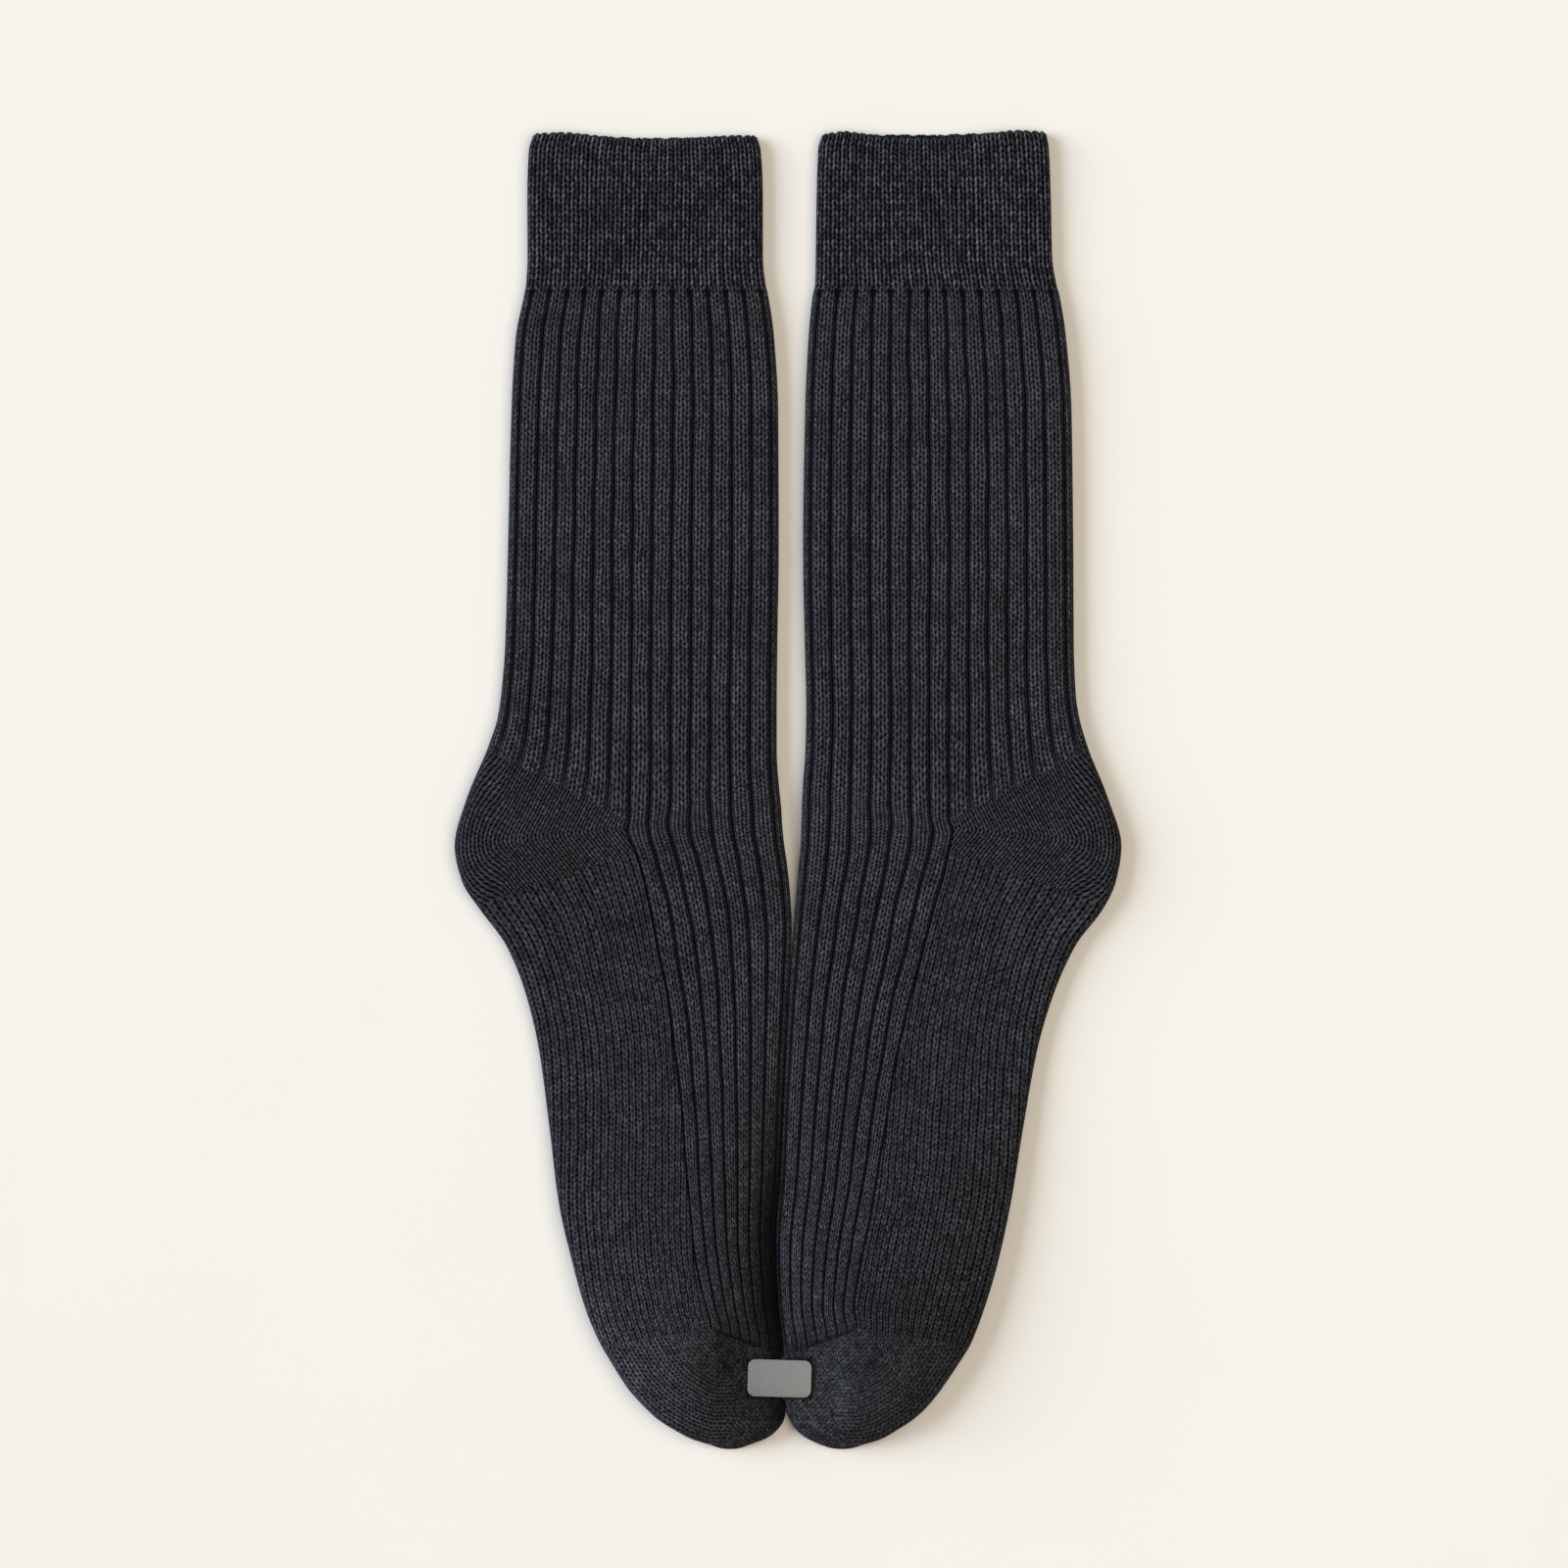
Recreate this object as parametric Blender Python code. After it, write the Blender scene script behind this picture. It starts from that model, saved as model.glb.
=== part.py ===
"""Pair of ribbed crew socks laid flat side by side, cuffs up and heels outward.

A small metal clip holds the two toes together. Lengths are in millimetres and are turned
to metres where the bodies are made. +Z is up, the socks lie on z = 0, the cuffs point to
+Y and the origin is under the middle of the pair.
"""

import math
from collections import namedtuple

import bmesh
import bpy

METRES_PER_MM = 0.001

# Sections of a sock from the cuff's rim to the tip of the toe. Each is a line over the
# flat sock from its heel edge through the mid wale, where the sole's knit meets the
# instep's, to its instep edge. The y columns are along the pair. The heel and instep
# columns are distances from the pair's middle line, for the left and the right sock.
# mid_share is how far across the mid wale lies. height is that of the rib crowns, gap the
# space between the two layers. The three groove columns are how deep the valleys are
# between the ribs of the sole side, of the instep side, and of the cuff's extra ribs.
Section = namedtuple(
    "Section",
    "name heel_y heel_left heel_right mid_y mid_share instep_y instep_left instep_right "
    "height gap sole_groove instep_groove cuff_groove lift rows",
)
SECTIONS = [
    Section("rim", 227.4, 88.4, 89.6, 225.5, 0.486, 225.8, 10.7, 11.7, 5.4, 1.2, 0.6, 0.6, 0.5, 0, 1),
    Section("cuff_top", 223.1, 89.8, 90.4, 222.0, 0.483, 222.4, 9.5, 10.5, 5.7, 1.2, 0.7, 0.7, 0.6, 0, 1),
    Section("cuff_mid", 206.1, 90.4, 91.1, 206.1, 0.478, 206.1, 8.7, 10.2, 5.7, 1.2, 0.7, 0.7, 0.6, 0, 1),
    Section("cuff_low", 185.0, 90.3, 91.6, 185.0, 0.473, 185.0, 8.7, 9.9, 5.7, 1.2, 0.7, 0.7, 0.6, 0, 1),
    Section("cuff_end", 175.5, 90.8, 93.0, 175.5, 0.467, 175.5, 7.8, 9.4, 5.7, 1.2, 0.7, 0.7, 0.5, 0, 1),
    Section("leg_top", 171.1, 91.6, 94.2, 171.1, 0.463, 171.1, 6.8, 8.5, 5.9, 1.3, 0.75, 0.75, 0.0, 0, 2),
    Section("leg_high", 156.8, 94.4, 96.4, 156.8, 0.465, 156.8, 4.8, 7.1, 6.2, 1.4, 0.8, 0.8, 0.0, 0, 1),
    Section("calf", 131.3, 95.9, 98.3, 131.3, 0.460, 131.3, 3.4, 6.3, 6.2, 1.4, 0.8, 0.8, 0.0, 0, 1),
    Section("shin", 83.7, 97.1, 98.9, 83.7, 0.458, 83.7, 3.2, 5.8, 6.2, 1.4, 0.8, 0.8, 0.0, 0, 1),
    Section("leg_low", 49.7, 98.1, 99.1, 49.7, 0.465, 49.7, 3.7, 6.1, 6.2, 1.4, 0.8, 0.8, 0.0, 0, 1),
    Section("ankle_back", 29.3, 100.0, 100.1, 28.0, 0.471, 28.6, 3.9, 6.3, 6.3, 1.4, 0.8, 0.8, 0.0, 0, 2),
    Section("ankle", 19.1, 102.0, 102.3, 11.6, 0.477, 13.7, 3.9, 6.0, 6.6, 1.6, 0.8, 0.8, 0.0, 0, 2),
    Section("gore_top", 7.6, 106.8, 106.6, -6.7, 0.485, 1.1, 3.1, 5.1, 6.9, 1.8, 0.25, 0.8, 0.0, 0, 2),
    Section("heel_high", -5.4, 112.5, 111.9, -10.8, 0.509, -5.4, 2.4, 4.8, 7.2, 2.0, 0.0, 0.7, 0.0, 0, 2),
    Section("heel_back", -19.3, 115.6, 115.6, -13.5, 0.527, -12.2, 2.0, 4.6, 7.2, 2.0, 0.0, 0.7, 0.0, 0, 2),
    Section("heel_under", -31.9, 112.9, 113.6, -16.2, 0.521, -18.3, 1.4, 4.4, 7.2, 2.0, 0.0, 0.7, 0.0, 0, 2),
    Section("gore_low", -40.7, 107.3, 109.5, -20.3, 0.508, -24.4, 0.5, 3.9, 6.9, 1.8, 0.0, 0.7, 0.0, 0, 2),
    Section("arch", -54.0, 97.6, 99.6, -33.6, 0.489, -33.2, -0.5, 3.2, 6.6, 1.6, 0.0, 0.7, 0.0, 0, 2),
    Section("arch_end", -71.0, 90.8, 92.0, -54.0, 0.495, -47.2, -1.3, 2.0, 6.4, 1.4, 0.0, 0.7, 0.0, 0, 2),
    Section("instep", -89.7, 86.4, 86.5, -77.8, 0.527, -69.3, 0.0, 0.4, 6.3, 1.4, 0.0, 0.7, 0.0, 0, 2),
    Section("ball", -117.9, 82.6, 81.4, -111.8, 0.565, -103.3, 1.9, -1.5, 6.3, 1.4, 0.0, 0.7, 0.0, 0, 2),
    Section("foot_low", -142.4, 79.6, 77.4, -138.3, 0.587, -133.9, 3.3, -2.9, 6.2, 1.4, 0.0, 0.7, 0.0, 0, 2),
    Section("toe_top", -164.5, 74.6, 72.6, -162.1, 0.610, -157.0, 4.9, -4.5, 6.1, 1.3, 0.0, 0.6, 0.0, 0, 2),
    Section("toe_knit", -180.8, 69.9, 67.7, -178.1, 0.626, -177.4, 4.2, -3.6, 6.0, 1.2, 0.0, 0.55, 0.0, 0.3, 2),
    Section("toe_seam", -193.0, 64.6, 62.9, -186.2, 0.605, -196.4, 2.85, -1.35, 5.7, 1.0, 0.0, 0.15, 0.0, 1, 2),
    Section("toe_mid", -207.7, 55.4, 53.2, -202.6, 0.560, -208.7, 2.65, -1.15, 5.7, 1.0, 0.0, 0.0, 0.0, 1, 2),
    Section("toe_low", -217.9, 45.2, 43.2, -215.8, 0.516, -217.9, 3.4, 0.1, 5.6, 1.0, 0.0, 0.0, 0.0, 1, 2),
    Section("toe_end", -224.7, 34.0, 33.0, -224.7, 0.500, -224.7, 9.2, 6.8, 4.6, 1.0, 0.0, 0.0, 0.0, 0.6, 2),
    Section("toe_tip", -228.0, 26.8, 25.2, -228.1, 0.516, -228.0, 16.6, 15.0, 2.6, 1.0, 0.0, 0.0, 0.0, 0.4, 0),
]
ROW = {section.name: number for number, section in enumerate(SECTIONS)}
COLUMNS = Section._fields[1:-1]

# Where the rib valleys lie, as shares of the way from an edge (1) to the mid wale (0).
SOLE_RIBS = 6
SOLE_EDGE_VALLEY = 0.933
INSTEP_RIBS = 7
INSTEP_EDGE_VALLEY = 0.95
CROWN_LEG = 0.18
CROWN_CUFF = 0.25
MID_VALLEY_HALF = 0.03
CUFF_GROOVE_FULL = 0.5

# Across positions of plain knit that has no ribs to follow.
PLAIN_SOLE = (-0.62, -0.3)
PLAIN_INSTEP = (0.0, 0.3, 0.6)
PLAIN_UNDERSIDE = (0.75, 0.5, 0.25, 0.0, -0.35, -0.7)
PLAIN_INSIDE = (-0.5, 0.0, 0.5)
EDGE_STEP = 0.3

WALL = 2.0
INSIDE_TURN = 1.0
RIM_RISE = 0.7
RIM_DIP = 1.3
UNDERSIDE_LIFT = 0.95
LIFT_FROM = 0.1
LIFT_FULL = 0.5
CAVITY_END = "toe_low"

CLIP_MIDDLE = (-2.95, -203.8)
CLIP_WIDTH = 22.1
CLIP_LENGTH = 13.0
CLIP_SHEET = 0.6
CLIP_TOP = 6.6
CLIP_WEB_X = -2.0
CLIP_WEB = 0.7
CLIP_CORNER = 2.2
CLIP_CORNER_STEPS = 4
SAME_PLACE = 1e-6


def clamp(value, low=0.0, high=1.0):
    """The value, held between two limits."""
    return max(low, min(high, value))


def ease(value):
    """A smooth step from 0 to 1."""
    value = clamp(value)
    return value * value * (3.0 - 2.0 * value)


def mix(start, end, share):
    """The value a share of the way from start to end."""
    return start + (end - start) * share


def stations():
    """Length along the sock of each section, as the mean of its three marked points."""
    found = [0.0]
    for here, after in zip(SECTIONS, SECTIONS[1:]):
        steps = [
            math.hypot(after.heel_y - here.heel_y, after.heel_left - here.heel_left),
            abs(after.mid_y - here.mid_y),
            math.hypot(after.instep_y - here.instep_y, after.instep_left - here.instep_left),
        ]
        found.append(found[-1] + sum(steps) / len(steps))
    return found


STATIONS = stations()


def slopes(values):
    """Slopes that take a smooth line through the values and never past them."""
    rises = [
        (values[i + 1] - values[i]) / (STATIONS[i + 1] - STATIONS[i])
        for i in range(len(values) - 1)
    ]
    found = [rises[0]]
    for before, after in zip(rises, rises[1:]):
        if before * after <= 0.0:
            found.append(0.0)
        else:
            found.append(2.0 * before * after / (before + after))
    return found + [rises[-1]]


SLOPES = {name: slopes([getattr(s, name) for s in SECTIONS]) for name in COLUMNS}


def section_between(row, share):
    """The section a share of the way from one row of the table to the next."""
    if share == 0.0:
        return SECTIONS[row]
    length = STATIONS[row + 1] - STATIONS[row]
    squared = share * share
    cubed = squared * share
    values = {}
    for name in COLUMNS:
        start = getattr(SECTIONS[row], name)
        end = getattr(SECTIONS[row + 1], name)
        values[name] = (
            (2.0 * cubed - 3.0 * squared + 1.0) * start
            + (cubed - 2.0 * squared + share) * length * SLOPES[name][row]
            + (3.0 * squared - 2.0 * cubed) * end
            + (cubed - squared) * length * SLOPES[name][row + 1]
        )
    return SECTIONS[row]._replace(**values)


def marks(section, side):
    """Plan points of a section on its heel edge, mid wale and instep edge."""
    heel_x = section.heel_left if side < 0 else section.heel_right
    instep_x = section.instep_left if side < 0 else section.instep_right
    mid_x = mix(heel_x, instep_x, section.mid_share)
    return (
        (side * heel_x, section.heel_y),
        (side * mid_x, section.mid_y),
        (side * instep_x, section.instep_y),
    )


def halves(section, side):
    """Lengths of the section's sole half and instep half."""
    heel, middle, instep = marks(section, side)
    return math.dist(heel, middle), math.dist(middle, instep)


def place(section, side, across):
    """Plan point at across: -1 on the heel edge, 0 on the mid wale, 1 on the instep edge."""
    heel, middle, instep = marks(section, side)
    end = heel if across < 0.0 else instep
    return mix(middle[0], end[0], abs(across)), mix(middle[1], end[1], abs(across))


def fold_rise(section, side, across, inset=0.0):
    """Quarter round at a folded edge: 0 on the edge and 1 from half the height inward."""
    half = halves(section, side)[0 if across < 0.0 else 1]
    distance = (1.0 - abs(across)) * half - inset
    reach = clamp(distance / (section.height / 2.0 - inset))
    return math.sqrt(1.0 - (1.0 - reach) ** 2)


def ribbed_columns(section):
    """Across positions over the upper layer with the groove depth at each."""
    cuff_share = clamp(section.cuff_groove / CUFF_GROOVE_FULL)
    crown = mix(CROWN_LEG, CROWN_CUFF, cuff_share)
    found = []
    for ribs, edge, groove, sign in (
        (SOLE_RIBS, SOLE_EDGE_VALLEY, section.sole_groove, -1.0),
        (INSTEP_RIBS, INSTEP_EDGE_VALLEY, section.instep_groove, 1.0),
    ):
        half = []
        pitch = edge / ribs
        for number in range(ribs):
            valley = edge - number * pitch
            half.append((sign * valley, groove))
            half.append((sign * (valley - crown * pitch), 0.0))
            half.append((sign * (valley - 0.5 * pitch), section.cuff_groove))
            half.append((sign * (valley - (1.0 - crown) * pitch), 0.0))
        found += half if sign < 0.0 else [(0.0, section.instep_groove)] + half[::-1]
    return found


def upper_columns(section, side):
    """Across positions and groove depths from the heel edge to the instep edge."""
    sole_half, instep_half = halves(section, side)
    radius = section.height / 2.0
    sole_turn = radius / sole_half
    instep_turn = radius / instep_half
    ribbed = ribbed_columns(section)
    if section.sole_groove <= 0.0:
        ribbed = [column for column in ribbed if column[0] >= 0.0]
        plain = (-1.0 + sole_turn, *PLAIN_SOLE, -MID_VALLEY_HALF)
        ribbed = [(across, 0.0) for across in plain] + ribbed
    if section.instep_groove <= 0.0:
        plain = (*PLAIN_INSTEP, 1.0 - instep_turn)
        ribbed = [column for column in ribbed if column[0] < -MID_VALLEY_HALF]
        ribbed += [(across, 0.0) for across in plain]
    start = [(-1.0, 0.0), (-1.0 + EDGE_STEP * sole_turn, 0.0)]
    end = [(1.0 - EDGE_STEP * instep_turn, 0.0), (1.0, 0.0)]
    return start + ribbed + end


def lower_columns(section, side):
    """Across positions of the plain lower layer, from the instep edge to the heel edge."""
    sole_half, instep_half = halves(section, side)
    sole_turn = section.height / 2.0 / sole_half
    instep_turn = section.height / 2.0 / instep_half
    found = [1.0 - EDGE_STEP * instep_turn, 1.0 - instep_turn, *PLAIN_UNDERSIDE]
    found += [-1.0 + sole_turn, -1.0 + EDGE_STEP * sole_turn]
    return sorted(found, reverse=True)


def underside(section, across):
    """Height of the underside: flat on the ground but for room left round the clip."""
    share = (across - LIFT_FROM) / (LIFT_FULL - LIFT_FROM)
    return UNDERSIDE_LIFT * section.lift * ease(share)


def outer_ring(section, side, dip):
    """Points once round the outside, each with its mark from 0 to 2 round the loop."""
    ring = []
    for across, groove in upper_columns(section, side):
        x, y = place(section, side, across)
        low = underside(section, across)
        middle = (section.height + low) / 2.0
        rise = fold_rise(section, side, across)
        ring.append(((x, y, middle + (section.height - middle - groove) * rise), 1.0 + across))
    for across in lower_columns(section, side):
        x, y = place(section, side, across)
        low = underside(section, across)
        middle = (section.height + low) / 2.0
        rise = fold_rise(section, side, across)
        y += dip * (1.0 - across * across)
        ring.append(((x, y, middle + (low - middle) * rise), 3.0 - across))
    return ring


def inner_point(section, side, across, layer):
    """A point of the plain inside; layer is 1 under the upper layer, -1 over the lower."""
    groove = max(section.sole_groove, section.instep_groove)
    low = underside(section, across)
    middle = (low + section.height - groove) / 2.0
    heel_half, instep_half = halves(section, side)
    half = heel_half if across < 0.0 else instep_half
    held = math.copysign(min(abs(across), 1.0 - WALL / half), across)
    x, y = place(section, side, held)
    rise = fold_rise(section, side, held, inset=WALL)
    return x, y, middle + layer * section.gap / 2.0 * rise


def inner_ring(section, side):
    """Points once round the inside, each with its mark round the loop."""
    sole_half, instep_half = halves(section, side)
    turn = WALL + INSIDE_TURN
    steps = [-1.0 + WALL / sole_half, -1.0 + turn / sole_half, *PLAIN_INSIDE]
    steps += [1.0 - turn / instep_half, 1.0 - WALL / instep_half]
    ring = [(inner_point(section, side, across, 1.0), 1.0 + across) for across in steps]
    for across in steps[-2:0:-1]:
        ring.append((inner_point(section, side, across, -1.0), 3.0 - across))
    return ring


def rim_ring(section, side):
    """The crest of the cuff's rim, half way between the outside and the inside."""
    ring = []
    for point, mark in outer_ring(section, side, RIM_DIP):
        layer = 1.0 if mark <= 2.0 else -1.0
        across = mark - 1.0 if mark <= 2.0 else 3.0 - mark
        inner = inner_point(section, side, across, layer)
        x, y, z = (mix(a, b, 0.5) for a, b in zip(point, inner))
        ring.append(((x, y + RIM_RISE, z), mark))
    return ring


def lay(mesh, ring):
    """Adds a ring's points to the mesh, each kept with its mark."""
    laid = []
    for point, mark in ring:
        laid.append((mesh.verts.new([METRES_PER_MM * value for value in point]), mark))
    return laid


def join(mesh, ring, after):
    """Triangles between two laid rings, each point joined to those nearest it by its mark."""
    loop = 4.0
    first = ring + [(ring[0][0], ring[0][1] + loop)]
    second = after + [(after[0][0], after[0][1] + loop)]
    i = 0
    j = 0
    while i < len(ring) or j < len(after):
        if j >= len(after) or (i < len(ring) and first[i + 1][1] <= second[j + 1][1]):
            mesh.faces.new((first[i][0], first[i + 1][0], second[j][0]))
            i += 1
        else:
            mesh.faces.new((first[i][0], second[j + 1][0], second[j][0]))
            j += 1


def close(mesh, ring):
    """Closes an end of the tube with triangles to the middle of its last ring."""
    middle = [sum(vert.co[axis] for vert, mark in ring) / len(ring) for axis in range(3)]
    centre = mesh.verts.new(middle)
    for (vert, mark), (other, other_mark) in zip(ring, ring[1:] + ring[:1]):
        mesh.faces.new((vert, other, centre))


def sock_mesh(side):
    """One hollow sock, open at the cuff, as a closed body with an outside and an inside."""
    mesh = bmesh.new()
    outside = []
    inside = []
    for row, section in enumerate(SECTIONS):
        steps = section.rows
        for step in range(steps):
            here = section_between(row, step / steps)
            dip = RIM_DIP if row == 0 else 0.0
            outside.append(lay(mesh, outer_ring(here, side, dip)))
        if row <= ROW[CAVITY_END]:
            inside.append(lay(mesh, inner_ring(section, side)))
    outside.append(lay(mesh, outer_ring(SECTIONS[-1], side, 0.0)))
    rim = lay(mesh, rim_ring(SECTIONS[0], side))
    skin = outside[::-1] + [rim] + inside
    for ring, after in zip(skin, skin[1:]):
        join(mesh, ring, after)
    close(mesh, outside[-1])
    close(mesh, inside[-1])
    bmesh.ops.recalc_face_normals(mesh, faces=mesh.faces)
    return mesh


def clip_mesh():
    """The clip: one strip with a plate above the toes, a web down between, a plate below."""
    half_width = CLIP_WIDTH / 2.0
    left = CLIP_WEB_X - CLIP_WEB / 2.0 - CLIP_MIDDLE[0]
    right = CLIP_WEB_X + CLIP_WEB / 2.0 - CLIP_MIDDLE[0]
    below = CLIP_TOP - CLIP_SHEET
    profile = [
        (-half_width, 0.0), (half_width, 0.0), (half_width, CLIP_SHEET), (right, CLIP_SHEET),
        (right, below), (half_width, below), (half_width, CLIP_TOP), (-half_width, CLIP_TOP),
        (-half_width, below), (left, below), (left, CLIP_SHEET), (-half_width, CLIP_SHEET),
    ]
    mesh = bmesh.new()
    front = CLIP_MIDDLE[1] - CLIP_LENGTH / 2.0
    verts = []
    for x, z in profile:
        place_x = METRES_PER_MM * (CLIP_MIDDLE[0] + x)
        verts.append(mesh.verts.new((place_x, METRES_PER_MM * front, METRES_PER_MM * z)))
    face = mesh.faces.new(verts)
    grown = bmesh.ops.extrude_face_region(mesh, geom=[face])
    moved = [item for item in grown["geom"] if isinstance(item, bmesh.types.BMVert)]
    bmesh.ops.translate(mesh, verts=moved, vec=(0.0, METRES_PER_MM * CLIP_LENGTH, 0.0))
    end_x = METRES_PER_MM * half_width
    corners = []
    for edge in mesh.edges:
        a, b = (vert.co for vert in edge.verts)
        upright = abs(a.z - b.z) > 0.0 and abs(a.x - b.x) + abs(a.y - b.y) < SAME_PLACE
        at_end = abs(abs(a.x - METRES_PER_MM * CLIP_MIDDLE[0]) - end_x) < SAME_PLACE
        if upright and at_end:
            corners.append(edge)
    bmesh.ops.bevel(
        mesh,
        geom=corners,
        offset=METRES_PER_MM * CLIP_CORNER,
        segments=CLIP_CORNER_STEPS,
        profile=0.5,
        affect="EDGES",
    )
    bmesh.ops.triangulate(mesh, faces=mesh.faces)
    bmesh.ops.recalc_face_normals(mesh, faces=mesh.faces)
    return mesh


def material(name, colour, roughness, metallic=0.0):
    """A plain material with one base colour."""
    made = bpy.data.materials.new(name)
    made.use_nodes = True
    shader = made.node_tree.nodes["Principled BSDF"]
    shader.inputs["Base Color"].default_value = (*colour, 1.0)
    shader.inputs["Roughness"].default_value = roughness
    shader.inputs["Metallic"].default_value = metallic
    return made


def add_object(name, mesh, look, collection):
    """Puts a finished mesh in the collection as a smooth shaded object."""
    data = bpy.data.meshes.new(name)
    mesh.to_mesh(data)
    mesh.free()
    for polygon in data.polygons:
        polygon.use_smooth = True
    data.materials.append(look)
    collection.objects.link(bpy.data.objects.new(name, data))


def main():
    """Builds both socks and the clip."""
    for item in list(bpy.data.objects):
        bpy.data.objects.remove(item, do_unlink=True)
    collection = bpy.data.collections.new("pair_of_socks")
    bpy.context.scene.collection.children.link(collection)
    charcoal = (0.028, 0.028, 0.033)
    add_object("left_sock", sock_mesh(-1), material("left_knit", charcoal, 0.9), collection)
    add_object("right_sock", sock_mesh(1), material("right_knit", charcoal, 0.9), collection)
    steel = material("satin_metal", (0.52, 0.51, 0.5), 0.35, metallic=1.0)
    add_object("toe_clip", clip_mesh(), steel, collection)


main()
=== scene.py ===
"""Looks of the pair of ribbed crew socks: knit shells over the solids, clip, floor and light."""
import math
from collections import namedtuple

import bmesh
import bpy
import numpy as np
from mathutils import Matrix, Vector


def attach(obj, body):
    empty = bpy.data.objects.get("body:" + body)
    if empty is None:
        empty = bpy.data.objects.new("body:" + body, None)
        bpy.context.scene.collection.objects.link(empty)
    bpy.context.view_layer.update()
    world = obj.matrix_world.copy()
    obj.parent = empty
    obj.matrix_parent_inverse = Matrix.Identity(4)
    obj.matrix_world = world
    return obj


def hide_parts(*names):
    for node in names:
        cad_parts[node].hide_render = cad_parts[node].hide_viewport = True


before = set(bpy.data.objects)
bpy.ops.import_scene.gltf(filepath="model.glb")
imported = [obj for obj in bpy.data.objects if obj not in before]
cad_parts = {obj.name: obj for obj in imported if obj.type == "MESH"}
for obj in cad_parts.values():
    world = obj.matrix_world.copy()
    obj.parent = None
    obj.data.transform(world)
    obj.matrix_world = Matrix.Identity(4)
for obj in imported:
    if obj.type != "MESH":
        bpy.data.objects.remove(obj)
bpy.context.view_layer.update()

MM = 0.001
PHOTO_MM_PER_PIXEL = 0.34
PHOTO_PIXELS = 1600
# Where the photograph's middle falls, from the middle of the pair.
PHOTO_MIDDLE = (-1.4, 2.1)

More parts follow.
